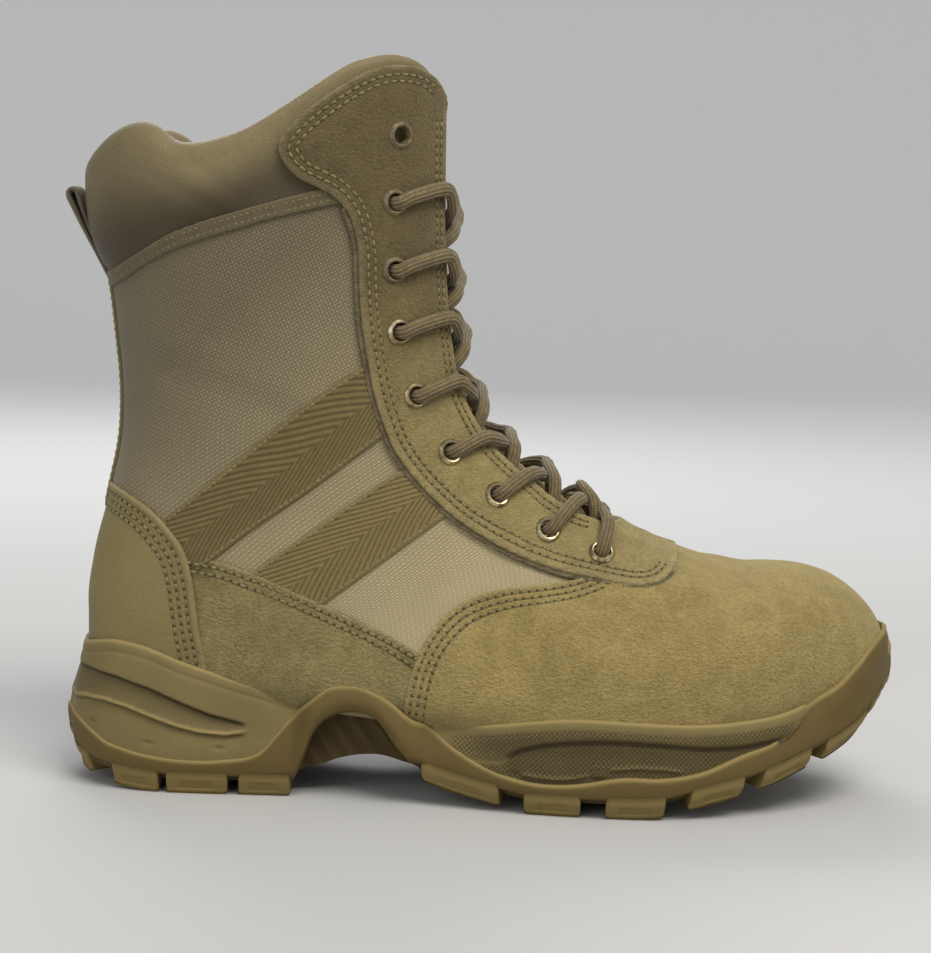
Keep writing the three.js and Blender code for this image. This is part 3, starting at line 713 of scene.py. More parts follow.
def shifted(line, distance, closed=False):
    """The line moved sideways over the surface by true millimetres, to its left in the s, u plane."""
    line = np.asarray(line, float)
    s, u = line[:, 0], line[:, 1]
    if closed:
        ahead, behind = np.roll(line, -1, axis=0), np.roll(line, 1, axis=0)
    else:
        ahead = np.vstack([line[1:], line[-1:]])
        behind = np.vstack([line[:1], line[:-1]])
    small_s, small_u = 0.02, 0.004
    along_s = (last.at(s + small_s, u)[0] - last.at(s - small_s, u)[0]) / (2 * small_s)
    along_u = (last.at(s, u + small_u)[0] - last.at(s, u - small_u)[0]) / (2 * small_u)
    run = ahead - behind
    tangent = along_s * run[:, :1] + along_u * run[:, 1:]
    _, normal = last.at(s, u)
    left = np.cross(normal, tangent)
    left /= np.linalg.norm(left, axis=1)[:, None] + 1e-9
    left *= np.sign((np.cross(along_s, along_u) * normal).sum(axis=1))[:, None]
    ss, uu = (along_s**2).sum(1), (along_u**2).sum(1)
    su = (along_s * along_u).sum(1)
    ls, lu = (left * along_s).sum(1), (left * along_u).sum(1)
    determinant = ss * uu - su**2 + 1e-9
    step_s = (ls * uu - lu * su) / determinant
    step_u = (lu * ss - ls * su) / determinant
    return line + distance * np.column_stack([step_s, step_u])


def inside(points, outline):
    """Which points of the plane lie in a closed outline."""
    x, y = points[:, 0], points[:, 1]
    result = np.zeros(len(points), bool)
    for (x1, y1), (x2, y2) in zip(outline, np.roll(outline, -1, axis=0)):
        if y1 == y2:
            continue
        result ^= ((y1 > y) != (y2 > y)) & (x < (x2 - x1) * (y - y1) / (y2 - y1) + x1)
    return result


def nearness(points, others):
    """Distance of each point to the nearest of the others."""
    tree = kdtree.KDTree(len(others))
    for i, p in enumerate(others):
        tree.insert(p, i)
    tree.balance()
    return np.array([tree.find(p)[2] for p in points])


def panel(name, outline, material, base=0.0, thick=1.4, grain=2.6, edge=0.7, seams=(),
          holes=(), height=None, sunk=0.3):
    """A cut panel laid on the last. `outline` is closed, in s and u; `base` and `thick` are the lift of its
    underside and its thickness, `edge` the radius of its worn edge, `seams` lines that press into it,
    `holes` round holes (s, u, radius), `height` more lift from points, s, u and edge distance."""
    outline = even(outline, 1.3, closed=True)
    plane = to_plane(outline)
    area = (plane[:, 0] * np.roll(plane[:, 1], -1) - np.roll(plane[:, 0], -1) * plane[:, 1]).sum()
    if area < 0:
        outline = outline[::-1]
        plane = plane[::-1]
    rim_line = last.on(*even(outline, 0.35, closed=True).T)
    depths = [edge * 0.2, edge * 0.6, edge, edge * 2.2]
    loops = [shifted(outline, d, closed=True) for d in depths]
    for seam in seams:
        for d in (-0.8, 0.0, 0.8):
            loops.append(shifted(even(seam, 1.3), d))
            depths.append(edge * 0.9)
    low, high = plane.min(axis=0), plane.max(axis=0)
    grid = np.stack(np.meshgrid(np.arange(low[0], high[0], grain), np.arange(low[1], high[1], grain)), -1)
    grid = grid.reshape(-1, 2)
    grid[:, 0] += (np.round((grid[:, 1] - low[1]) / grain) % 2) * grain / 2
    loops.append(grid / [S_UNIT, U_UNIT])
    depths.append(edge * 2.2 + grain * 0.45)
    extra = np.vstack(loops)
    need = np.concatenate([np.full(len(loop), d) for loop, d in zip(loops, depths)])
    keep = inside(to_plane(extra), plane)
    extra, need = extra[keep], need[keep]
    far = nearness(last.on(*extra.T), rim_line)
    extra = extra[far > 0.85 * need]
    if len(seams):  # the grid keeps clear of the seams' own points
        line = np.vstack([last.on(*even(seam, 0.6).T) for seam in seams])
        off = nearness(last.on(*extra.T), line)
        keep = (off < 0.95) | (off > 1.5) | (nearness(last.on(*extra.T), rim_line) < edge * 2.4)
        extra = extra[keep]
    points = np.vstack([outline, extra])
    edges = [(i, (i + 1) % len(outline)) for i in range(len(outline))]
    rings = []
    for s, u, radius in holes:
        angle = np.linspace(0, 2 * math.pi, 18, endpoint=False)
        small = 0.05
        size_s = np.linalg.norm(last.at([s + small], [u])[0] - last.at([s - small], [u])[0]) / (2 * small)
        size_u = last.half(s)
        ring = np.column_stack([s + radius / size_s * np.cos(angle), u + radius / size_u * np.sin(angle)])
        middle = last.on(np.array([s]), np.array([u]))[0]
        points = points[np.linalg.norm(last.on(*points.T) - middle, axis=1) > radius + 0.5]
        rings.append((ring, middle, radius))
    for ring, _, _ in rings:
        start = len(points)
        points = np.vstack([points, ring])
        edges += [(start + i, start + (i + 1) % len(ring)) for i in range(len(ring))]
    flat = [Vector(p) for p in to_plane(points)]
    flat, _, faces, _, _, _ = delaunay_2d_cdt(flat, edges, [], 1, 1e-5)
    points = np.array([tuple(p) for p in flat]) / [S_UNIT, U_UNIT]
    faces = np.array([tuple(f) for f in faces])
    middles = points[faces].mean(axis=1)
    keep = inside(to_plane(middles), plane)
    for _, middle, radius in rings:
        keep &= np.linalg.norm(last.on(*middles.T) - middle, axis=1) > radius * 0.93
    faces = faces[keep]
    used = np.unique(faces)
    renumber = np.full(len(points), -1)
    renumber[used] = np.arange(len(used))
    points, faces = points[used], renumber[faces]
    s, u = points.T
    surface_points, normals = last.at(s, u)
    far = nearness(surface_points, rim_line)
    far[far < 0.12] = 0.0
    round_off = edge - np.sqrt(np.maximum(edge**2 - (edge - np.minimum(far, edge)) ** 2, 0))
    lift = base + thick - round_off
    if len(seams):
        line = np.vstack([last.on(*even(seam, 0.4).T) for seam in seams])
        off = nearness(surface_points, line)
        lift -= 0.34 * np.exp(-((off / 0.75) ** 2))
    if height is not None:
        lift = lift + height(surface_points, s, u, far)
    top = surface_points + normals * lift[:, None]
    under = surface_points + normals * (base - sunk)
    a, b, c = (top[faces[:, k]] for k in range(3))
    if (np.cross(b - a, c - a) * normals[faces[:, 0]]).sum() < 0:
        faces = faces[:, ::-1]
    sides = {}
    for f in faces:
        for i in range(3):
            pair = (f[i], f[(i + 1) % 3])
            sides[pair] = sides.get(pair, 0) + 1
    count = len(top)
    walls = [(b, a, a + count, b + count) for a, b in sides if (b, a) not in sides]
    all_faces = [tuple(f) for f in faces] + [tuple(f[::-1] + count) for f in faces] + walls
    rim = np.exp(-far / 0.9)
    reach = u * last.half(s)
    rows = np.cumsum(np.r_[0, np.linalg.norm(np.diff(last.points[:, HALF // 2], axis=0), axis=1)])
    run = np.interp(s * PER_ROW, np.arange(len(rows)), rows)
    uv = np.column_stack([reach, run]) / 10
    raw_edge_and_shade = np.r_[np.where(far < 1e-6, 0.25, 0.0), np.ones(count)]
    values = {"rim": np.r_[rim, np.zeros(count)], "raw_edge_and_shade": raw_edge_and_shade}
    uv = np.vstack([uv, uv])
    return make_object(name, np.vstack([top, under]), all_faces, material, uv, values)


def lay(line, side):
    """A side-view line laid on one side of the last, as s and u."""
    found = last.find(line)
    return np.column_stack([found[:, 0], side * found[:, 1]])


def mirrored(line):
    """The same line on the other side, run the other way."""
    return (np.asarray(line) * [1, -1])[::-1]


def over_back(line):
    """A line on the outer side, then its mirror on the inner side, joined at the back."""
    line = np.asarray(line, float)
    other = line.copy()
    other[:, 1] = -2 - other[:, 1]
    return np.vstack([line, other[::-1]])


# ---- Stitching ----
class Stitches:
    """All the sewing of one colour: single stitches, and dark needle holes at their ends, a painted shade."""

    def __init__(self):
        self.threads, self.holes = [], []

    def run(self, line, lift, pitch=3.0, width=0.44, gap=0.75):
        """A row of stitches along a line in s and u; the lift may depend on the place."""
        ends = even(line, pitch)
        points, normals = last.at(*ends.T)
        lift = lift(points) if callable(lift) else np.full(len(points), lift)
        points = points + normals * lift[:, None]
        for i in range(len(points) - 1):
            along = points[i + 1] - points[i]
            size = np.linalg.norm(along)
            along /= size
            up = normals[i] + normals[i + 1]
            up -= along * (up @ along)
            up /= np.linalg.norm(up)
            self.threads.append(((points[i] + points[i + 1]) / 2, along, up, (size - gap) / 2, width))
        for p, normal in zip(points, normals):
            self.holes.append((p, normal))

    def make(self, name):
        rings = [(-1.0, 0.0, -0.35), (-0.82, 0.62, -0.12), (-0.4, 1.0, 0.08), (0.4, 1.0, 0.08),
                 (0.82, 0.62, -0.12), (1.0, 0.0, -0.35)]
        sides = 6
        points, faces, uv = [], [], []
        for centre, along, up, half, width in self.threads:
            across = np.cross(along, up)
            start = len(points)
            for at, size, rise in rings:
                for k in range(sides):
                    turn = 2 * math.pi * k / sides
                    offset = across * math.cos(turn) * size + up * (math.sin(turn) * size + rise)
                    points.append(centre + along * at * half + offset * width)
                    uv.append((k / sides, at * half))
            for r in range(len(rings) - 1):
                for k in range(sides):
                    a = start + r * sides + k
                    b = start + r * sides + (k + 1) % sides
                    faces.append((a, b, b + sides, a + sides))
        raw_edge_and_shade = np.zeros(len(points))
        thread = make_object(name + "_thread", points, faces, "thread", uv, {"raw_edge_and_shade": raw_edge_and_shade}, 180)
        with_modifier(thread, "WELD", merge_threshold=1e-6)
        # dark cones at the stitch ends: painted shade of the needle holes
        points, faces = [], []
        for p, normal in self.holes:
            side = np.cross(normal, [0.3, 0.9, 0.1])
            side /= np.linalg.norm(side)
            other = np.cross(normal, side)
            start = len(points)
            points.append(p + normal * 0.16)
            for k in range(sides):
                turn = 2 * math.pi * k / sides
                points.append(p + (side * math.cos(turn) + other * math.sin(turn)) * 0.66 - normal * 0.04)
            points.append(p - normal * 0.5)
            for k in range(sides):
                a, b = start + 1 + k, start + 1 + (k + 1) % sides
                faces += [(start, a, b), (start + sides + 1, b, a)]
        return make_object(name + "_needle_holes", points, faces, "hole", angle=180)


# the dark colour paints the shade inside the needle holes
def hole_material():
    material, n, shader = surface("needle hole", 1.0, Specular_IOR_Level=0.0)
    place = n.place()
    n.link(n.mix(noise(n, place, 800), (0.075, 0.056, 0.022), (0.125, 0.095, 0.040)),
                     shader.inputs["Base Color"])
    return material


MATERIALS["hole"] = hole_material()


# ---- Outlines of the upper, in the side view ----
COLLAR_SEAM = [
    (-165, 174), (-139.5, 183.5), (-123, 192.5), (-105, 202), (-86, 208), (-68, 213.5), (-35, 223),
    (0, 232), (200, 290),
]
RIM = [
    (-153, 205), (-151, 214), (-148, 222.5), (-140, 230.5), (-133, 234.8), (-126, 236.6), (-120, 234.8),
    (-113, 230), (-106, 229.6), (-95, 232.2), (-85, 236.5), (-72, 245), (-55, 257), (-47, 260.6),
    (-38, 262.6), (-30, 261.2), (-25, 257.5), (-21.5, 250), (-18, 240),
]
FACING_EDGE = [
    (69.8, 91.9), (69.1, 88.2), (66.5, 83.6), (61.5, 80.2), (54.1, 78.9), (46, 79.5), (37.8, 80.8),
    (29.7, 82.2), (21.5, 84.3), (13.3, 87.3), (5, 91.1), (-3.2, 95.7), (-11.5, 101.1), (-17.3, 105.8),
    (-23.2, 111.3), (-28.2, 116.8), (-32.4, 122.3), (-35.9, 128.5), (-41.3, 142.6), (-44.5, 156.5),
    (-47, 170.4), (-48.2, 183.6), (-48.8, 194.1), (-50.9, 203.4), (-53.7, 209), (-57.8, 213),
    (-63.2, 215.7), (-69.5, 218.6), (-73.8, 222.7), (-76.2, 227), (-76, 231.1), (-72.6, 235.9),
    (-67.2, 241.6), (-60.8, 246.9), (-53.5, 252.2), (-46.2, 256.4), (-38.8, 258.6), (-30.4, 258.3),
    (-24.8, 254.8), (-21.8, 249.6),
]
COUNTER_EDGE = [
    (-96.2, 36), (-97.7, 47.3), (-100.1, 59.3), (-101.7, 69.7), (-103.2, 78.2), (-105, 84.6),
    (-107.4, 89.4), (-110.9, 93.8), (-115.3, 98.4), (-121.1, 102.5), (-128, 105.7), (-133.1, 107.3),
    (-137.5, 107.8),
]
COUNTER_FOOT = [(-96.2, 36), (-112, 39), (-128, 42), (-141.4, 45.2)]
QUARTER_TOP = [
    (-112, 88.5), (-103.5, 85.2), (-94.6, 84), (-84.4, 81), (-72.4, 76.7), (-59.5, 71.2), (-46.6, 65.6),
    (-33.7, 60.1), (-23.3, 54.8), (-14, 50),
]
QUARTER_FOOT = [(-14, 28), (-40, 30.5), (-66, 33), (-100, 37), (-112, 39)]
VAMP_REAR = [
    (-27.5, 29), (-27.1, 31.7), (-26.7, 36.3), (-25.4, 44.7), (-22.9, 53), (-18.8, 61.2), (-13, 68.2),
    (-5.3, 73.2), (6.1, 76.7), (17.7, 78.2), (28, 79.6), (34.9, 81.3), (40, 83.4), (48, 88),
]
VAMP_FOOT = [
    (-27.5, 29), (0, 26.5), (40, 24.5), (76, 26.5), (100, 31.5), (120, 38.5), (136, 44), (145, 48.5),
]
TAPE_TOP = [
    (-58, 216.2), (-63.7, 214.6), (-77.4, 210.5), (-86.5, 207.7), (-95.7, 204.8), (-104.8, 201.7),
    (-114.1, 197.8), (-123.1, 192.3), (-133.2, 186.4), (-142, 182.5),
]
TAPE_FOOT = [
    (-52, 211.3), (-58.9, 209.4), (-77.2, 204.6), (-86.4, 201.5), (-95.6, 198.5), (-104.7, 195.4),
    (-113.9, 191.6), (-123, 186.6), (-132, 180.8), (-142, 176),
]
STRAPS = {  # upper edge, lower edge
    "strap_high": ([(-116, 96), (-96.4, 112.9), (-81.7, 126.1), (-64.7, 140.4), (-52.2, 149.9), (-38, 159.6)],
                   [(-101, 80.4), (-89.6, 89.8), (-81.4, 96.4), (-66.1, 107.6), (-55, 116.1), (-45.4, 123.8),
                    (-33, 133.4)]),
    "strap_low": ([(-87, 77), (-72.7, 87.9), (-60.2, 97.2), (-47.9, 106.5), (-35.9, 115), (-24, 122.6)],
                  [(-61, 67), (-42.8, 80.8), (-30.4, 90.2), (-16.6, 100.7), (-6, 108)]),
}
SHAFT_FOOT = [
    (-141, 45), (-126, 41), (-100, 38), (-70, 36), (-40, 33.5), (-10, 30.5), (20, 27), (50, 26), (76, 28),
    (96, 32), (112, 36.5), (126, 41), (137, 46), (145, 50),
]
# Section and half-width of the front gap.
THROAT = [
    (0, 14), (2.5, 14), (5, 15), (8.1, 16.4), (9.2, 17), (9.9, 15.4), (10.45, 12.4),
]
THROAT_END, THROAT_FOOT = 11.2, 12.4  # where the gap ends, and its half-width just before
# Eyelets: section and reach round from the ridge; the top pair stays empty.
EYELETS = [
    (1.49, 35.2), (2.48, 37.4), (3.56, 37.9), (4.62, 37.4), (5.91, 34.8), (7.19, 33), (8.76, 32.6),
    (10.17, 30.1), (12.26, 26.2),
]
EYELET = {"outer": 4.75, "hole": 3.25, "height": 1.1}
HOLE_RADIUS = 3.2
FACING_TOP = 2.9  # lift of the facing's face


def throat_edge(top, foot, side, steps=60):
    """The edge of the front gap between two sections."""
    s = np.linspace(top, foot, steps)
    return np.column_stack([s, side * line_at(THROAT, s) / last.half(s)])


def throat_round(side):
    """The rounded foot of the gap, from its edge to the ridge."""
    turn = np.linspace(0, math.pi / 2, 11)[1:]
    s = THROAT[-1][0] + (THROAT_END - THROAT[-1][0]) * np.sin(turn)
    return np.column_stack([s, side * THROAT_FOOT / last.half(s) * np.cos(turn)])


def section_where(rows, u):
    """The section at which the last crosses a side-view line, for each u."""
    s = np.linspace(0, 12, 400)
    found = []
    for value in np.atleast_1d(u):
        points, _ = last.at(s, np.full_like(s, value))
        gap = points[:, 2] - line_at(rows, points[:, 0])
        first = np.argmax(gap < 0)
        t = gap[first - 1] / (gap[first - 1] - gap[first]) if first else 0
        found.append(s[max(first - 1, 0)] + t * (s[1] - s[0]))
    return np.array(found)


def within(line, distance, outline):
    """The line moved over the surface by a distance, on the side where the closed outline lies."""
    line = even(line, 1.3)
    probes = [shifted(line, sign * min(abs(distance), 2.5)) for sign in (1, -1)]
    hits = [inside(to_plane(probe), to_plane(outline)).sum() for probe in probes]
    return shifted(line, distance if hits[0] > hits[1] else -distance)


def at_shares(line, shares):
    """The line at shares of the way along its points."""
    at = np.linspace(0, 1, len(line))
    return np.column_stack([np.interp(shares, at, line[:, k]) for k in (0, 1)])


def sew(seams, lift, pitch=3.0, width=0.44):
    for seam in seams:
        SEWING.run(seam, lift, pitch, width)


def stretch(line, start, end):
    """The part of a line between two shares of its points."""
    count = len(line)
    return line[int(start * count):max(int(end * count), int(start * count) + 2)]


SEWING = Stitches()
eyelet_places = [(s, side * reach / last.half(s)) for s, reach in EYELETS for side in (OUTER, INNER)]
all_holes = [(s, u, HOLE_RADIUS) for s, u in eyelet_places]


# ---- The shaft: woven fabric outside, lining inside ----
def shaft_outline():
    top_u = np.linspace(float(-throat_edge(2.2, 2.2, 1, 2)[0, 1]), -1.0, 60)
    top = np.column_stack([section_where(COLLAR_SEAM, top_u), top_u])
    gap = throat_edge(float(top[0, 0]), THROAT[-1][0], OUTER)[::-1]
    back = np.column_stack([np.linspace(top[-1, 0], 9.9, 40), np.full(40, -1.0)])[1:]
    foot = lay(curve(SHAFT_FOOT, 3), OUTER)
    path = np.vstack([throat_round(OUTER)[::-1], gap, top[1:], back, foot, [[24.9, -0.85]]])
    return np.vstack([path, mirrored(path)])


def shaft_softness(points, s, u, far):
    """Soft hollows: behind the ankle, and across the instep where the boot flexes."""
    x, z = points[:, 0], points[:, 2]
    ankle = -0.9 * bump(z, 118, 16) * bump(x, -104, 22)
    fold = -0.55 * bump(z + 0.35 * (x + 60), 132, 5) + 0.4 * bump(z + 0.35 * (x + 60), 141, 5)
    return ankle + fold * step_up(-x, 20, 60) * step_up(np.abs(points[:, 1]), 10, 24) * (z < 170)


def shaft():
    outline = shaft_outline()
    outside = panel("shaft_fabric", outline, "fabric", base=-0.7, thick=0.7, grain=3.2,
                    edge=0.4, holes=all_holes, height=shaft_softness)
    inside_ = panel("shaft_lining", outline, "lining", base=-2.2, thick=1.1, grain=4.5, edge=0.4,
                    holes=all_holes, sunk=0.0)
    for piece in (outside, inside_):
        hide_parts("upper")


# ---- Leather panels ----
def facing():
    edge = lay(curve(FACING_EDGE, 1.5), OUTER)
    edge[0] = (edge[0, 0], 0.0)
    gap = throat_edge(float(edge[-1, 0]) + 0.15, THROAT[-1][0], OUTER)
    path = np.vstack([edge, gap, throat_round(OUTER)])
    outline = np.vstack([path, mirrored(path)])
    seams = []
    for side in (OUTER, INNER):
        border = edge * [1, -side]
        throat = gap * [1, -side]
        for distance in (3.2, 5.6):
            seams.append(within(stretch(border, 0.03, 0.985), distance, outline))
        for distance in (2.8, 5.2):
            seams.append(within(stretch(throat, 0.02, 0.99), distance, outline))

    def swell(points, s, u, far):
        """A padded middle inside the rows, with slow waves along it."""
        return 0.35 * step_up(far, 6, 12) + 0.15 * np.sin(points[:, 0] / 9) * step_up(far, 3, 9)

    piece = panel("facing_suede", outline, "facing", base=0.3, thick=2.6, grain=2.2, edge=0.9,
                  seams=seams, holes=all_holes, height=swell, sunk=0.5)
    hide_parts("facing")
    sew(seams, FACING_TOP - 0.16, 3.1)


def facing_edge_layers():
    """The cut edge of the facing shows its layers: a darker strip a little proud under its border."""
    edge = lay(curve(FACING_EDGE, 1.5), OUTER)
    edge = stretch(edge, 0.0, 0.68)
    for side, label in SIDES:
        border = edge * [1, -side]
        closed = np.vstack([border, [[6.0, side * 0.05]]])
        strip = np.vstack([within(border, -1.6, closed), within(border, 1.5, closed)[::-1]])
        panel(f"facing_backing_{label}", strip, "backing", base=0.0, thick=1.9, grain=3,
              edge=0.45, sunk=0.2)


def counter():
    edge = over_back(lay(curve(COUNTER_EDGE, 1.5), OUTER))
    foot = over_back(lay(curve(COUNTER_FOOT, 3), OUTER))
    outline = np.vstack([edge, foot[::-1]])
    seams = [within(stretch(edge, 0.07, 0.93), d, outline) for d in (3.1, 5.8, 8.5)]

    def pared(points):
        """Thinner at the back, and where the cup holds it."""
        x, z = points[:, 0], points[:, 2]
        return np.maximum(1.5 * step_up(-x, 116, 138), 0.9 * (1 - step_up(z, 50, 66)))

    def fold(points, s, u, far):
        """The border is turned over into a low rounded bead; the cup below bulges at the heel."""
        bead = 0.55 * bump(far, 1.2, 1.1) * (points[:, 2] > 52)
        return bead + 0.9 * step_up(far, 8, 26) * step_up(points[:, 2], 50, 66) - pared(points)

    piece = panel("counter_leather", outline, "counter", base=0.3, thick=1.7, grain=2.4,
                  edge=0.8, seams=seams, height=fold, sunk=0.5)
    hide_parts("heel_counter")
    sew(seams, lambda points: 2.0 - pared(points))


def quarter(side, label):
    top = lay(curve(QUARTER_TOP, 1.5), side)
    foot = lay(curve(QUARTER_FOOT, 3), side)
    outline = np.vstack([top, foot])
    seams = [within(stretch(top, 0.02, 0.97), d, outline) for d in (2.2, 4.9)]

    def skive(points, s, u, far):
        """Pared thin where the vamp and the counter lap over it."""
        x = points[:, 0]
        return -0.7 * step_up(x, -34, -22) - 1.05 * step_up(-x, 94, 100)

    panel(f"quarter_{label}", outline, "quarter", base=0.0, thick=1.45, grain=2.4, edge=0.6,
          seams=seams, height=skive)
    sew(seams, 1.35)


def vamp():
    rear = lay(curve(VAMP_REAR, 1.5), OUTER)
    foot = lay(curve(VAMP_FOOT, 3), OUTER)
    neck = [[13.0, -0.16], [13.15, 0.0]]
    path = np.vstack([[[24.97, -0.9]], foot[::-1], rear, neck])
    outline = np.vstack([path, mirrored(path)])
    seams = []
    for side in (OUTER, INNER):
        border = rear * [1, -side]
        for distance in (2.2, 4.7, 7.2):
            seams.append(within(stretch(border, 0.03, 0.9), distance, outline))

    def flex(points, s, u, far):
        """Soft flex folds behind the toe cap, a flatter toe top, and light dents."""
        x, y, z = points.T
        crown = step_up(z, 55, 80)
        folds = -0.3 * bump(x + 0.12 * y, 79, 5) + 0.2 * bump(x + 0.12 * y, 87, 5)
        folds += -0.25 * bump(x - 0.1 * y, 96, 6)
        dents = 0.16 * np.sin(x / 7.1 + 1.3) * np.sin(y / 8.3) * np.sin(z / 6.2)
        return folds * crown + dents * step_up(far, 3, 10)

    panel("vamp_suede", outline, "vamp", base=0.0, thick=1.9, grain=2.3, edge=0.8,
          seams=seams, height=flex)
    sew(seams, 1.75)


# ---- Webbing straps and tapes ----
def band(name, upper_edge, lower_edge, side, base, thick, relief, material, cell=0.36):
    """A flat tape between two side-view lines; `relief` is its ribbing, from millimetres along and
    across."""
    upper_edge, lower_edge = curve(upper_edge, 1), curve(lower_edge, 1)
    length = np.linalg.norm(np.diff(upper_edge, axis=0), axis=1).sum()
    width = np.linalg.norm(upper_edge[len(upper_edge) // 2] - lower_edge[len(lower_edge) // 2])
    along, across = int(length / cell), int(width / cell)
    t = np.linspace(0, 1, along + 1)
    ends = []
    for line in (lower_edge, upper_edge):
        ends.append(at_shares(lay(line, side), t))
    q = np.linspace(0, 1, across + 1)
    places = (1 - q)[None, :, None] * ends[0][:, None] + q[None, :, None] * ends[1][:, None]
    s, u = places.reshape(-1, 2).T
    p_mm = np.repeat(t * length, across + 1)
    q_mm = np.tile((q - 0.5) * width, along + 1)
    border = width / 2 - np.abs(q_mm)
    height, dark = relief(p_mm, q_mm, width)
    lift = base + thick - 0.5 * np.exp(-border / 0.35) + height
    points, normals = last.at(s, u)
    top = points + normals * lift[:, None]
    under = points + normals * (base - 0.3)
    count = len(top)
    index = np.arange(count).reshape(along + 1, across + 1)
    quads = np.stack([index[:-1, :-1], index[1:, :-1], index[1:, 1:], index[:-1, 1:]], -1).reshape(-1, 4)
    a, b, c = top[quads[:, 0]], top[quads[:, 1]], top[quads[:, 2]]
    if (np.cross(b - a, c - a) * normals[quads[:, 0]]).sum() < 0:
        quads = quads[:, ::-1]
    ring = np.r_[index[:, 0], index[-1, 1:], index[-2::-1, -1], index[0, -2:0:-1]]
    turned = quads[0][0] == index[0, 0]
    following = np.roll(ring, -1)
    walls = [(a, b, b + count, a + count) for a, b in zip(ring, following)]
    if not turned:
        walls = [w[::-1] for w in walls]
    faces = [tuple(f) for f in quads] + [tuple(f[::-1] + count) for f in quads] + walls
    uv = np.column_stack([p_mm, q_mm]) / 10
    # painted shade in the rib grooves and along the strap's rounded edges; its complement makes the crests
    # paler
    values = {"raw_edge_and_shade": np.r_[np.clip(dark + 0.35 * np.exp(-border / 0.4), 0, 1), np.ones(count)],
              "rim": np.r_[np.clip(0.6 - dark, 0, 1), np.zeros(count)]}
    piece = make_object(name, np.vstack([top, under]), faces, material, np.vstack([uv, uv]), values, 60)
    face_outwards(piece)
    return piece


STRAP_THICK = 1.25
RIB_PITCH = 2.0
RIB_SLANT = math.radians(23)


def herringbone(p, q, width):
    """Slanting ribs that meet in a ridge along the strap, flat at the woven edges: height, and a darkness
    that is painted shade in the grooves between the ribs and over the lower half.
    """
    spine = -0.02 * width
    upper = q > spine
    pitch = np.where(upper, RIB_PITCH, 0.78 * RIB_PITCH)
    along = p + 0.6 * np.sin(p / 7)
    phase = (np.abs(q - spine) * math.cos(RIB_SLANT) + along * math.sin(RIB_SLANT)) / pitch
    wave = np.abs(np.sin(math.pi * phase)) ** 0.8
    border = step_up(width / 2 - np.abs(q), 1.2, 2.2)
    # painted shade between the ribs, and over the whole lower half
    dark = (1 - wave) * border * np.where(upper, 0.95, 0.8) + np.where(upper, 0.0, 0.14)
    return 0.42 * (wave - 1) * border + 0.25 * bump(q, spine, 8), dark


def straps():
    for name, (upper_edge, lower_edge) in STRAPS.items():
        for side, label in SIDES:
            band(f"{name}_{label}", upper_edge, lower_edge, side, 0.0, STRAP_THICK, herringbone,
                 "webbing")
            outline = lay(np.vstack([curve(upper_edge, 1.5), curve(lower_edge, 1.5)[::-1]]), side)
            for edge in (upper_edge, lower_edge):
                line = within(lay(curve(edge, 1.5), side), 1.2, outline)
                SEWING.run(stretch(line, 0.02, 0.98), 1.15, 2.3, 0.36, 0.5)


def tape():
    top = over_back(lay(curve(TAPE_TOP, 1.5), OUTER))
    foot = over_back(lay(curve(TAPE_FOOT, 1.5), OUTER))
    outline = np.vstack([top, foot[::-1]])

    def roll(points, s, u, far):
        return 0.3 * bump(far, 0.9, 0.6)

    panel("collar_tape", outline, "binding", base=0.0, thick=1.1, grain=2.2, edge=0.5, height=roll)
    count = min(len(top), len(foot))
    ends = [at_shares(line, np.linspace(0, 1, count)) for line in (top, foot)]
    middle = stretch((ends[0] + ends[1]) / 2, 0.01, 0.99)
    for aside in (-1.25, 1.25):
        SEWING.run(shifted(even(middle, 1.3), aside), 1.0, 2.3, 0.36, 0.6)


def backstay():
    """The strip that covers the back seam, from the pull loop down to the counter."""
    top, foot = 3.05, 7.2
    s = np.linspace(top, foot, 60)
    half = 7.5 / last.half(s)
    outline = np.vstack([np.column_stack([s, -1 + half]), np.column_stack([s, -1 - half])[::-1]])
    seams = [np.column_stack([s, -1 + sign * (half - 2.0 / last.half(s))]) for sign in (1, -1)]
    panel("backstay", outline, "counter", base=0.0, thick=1.2, grain=2.2, edge=0.5,
          seams=seams)
    sew(seams, 1.05, 2.8, 0.38)


# ---- Padded pieces: collar and tongue ----
OUTSIDE, OVER = 0.4, 0.65  # shares of the profile where the outside ends, and where the rim is passed
PAD = {"back_out": 2.2, "front_out": 0.0, "back_in": -9.0, "front_in": -4.2, "from": -98.0, "to": -81.0}


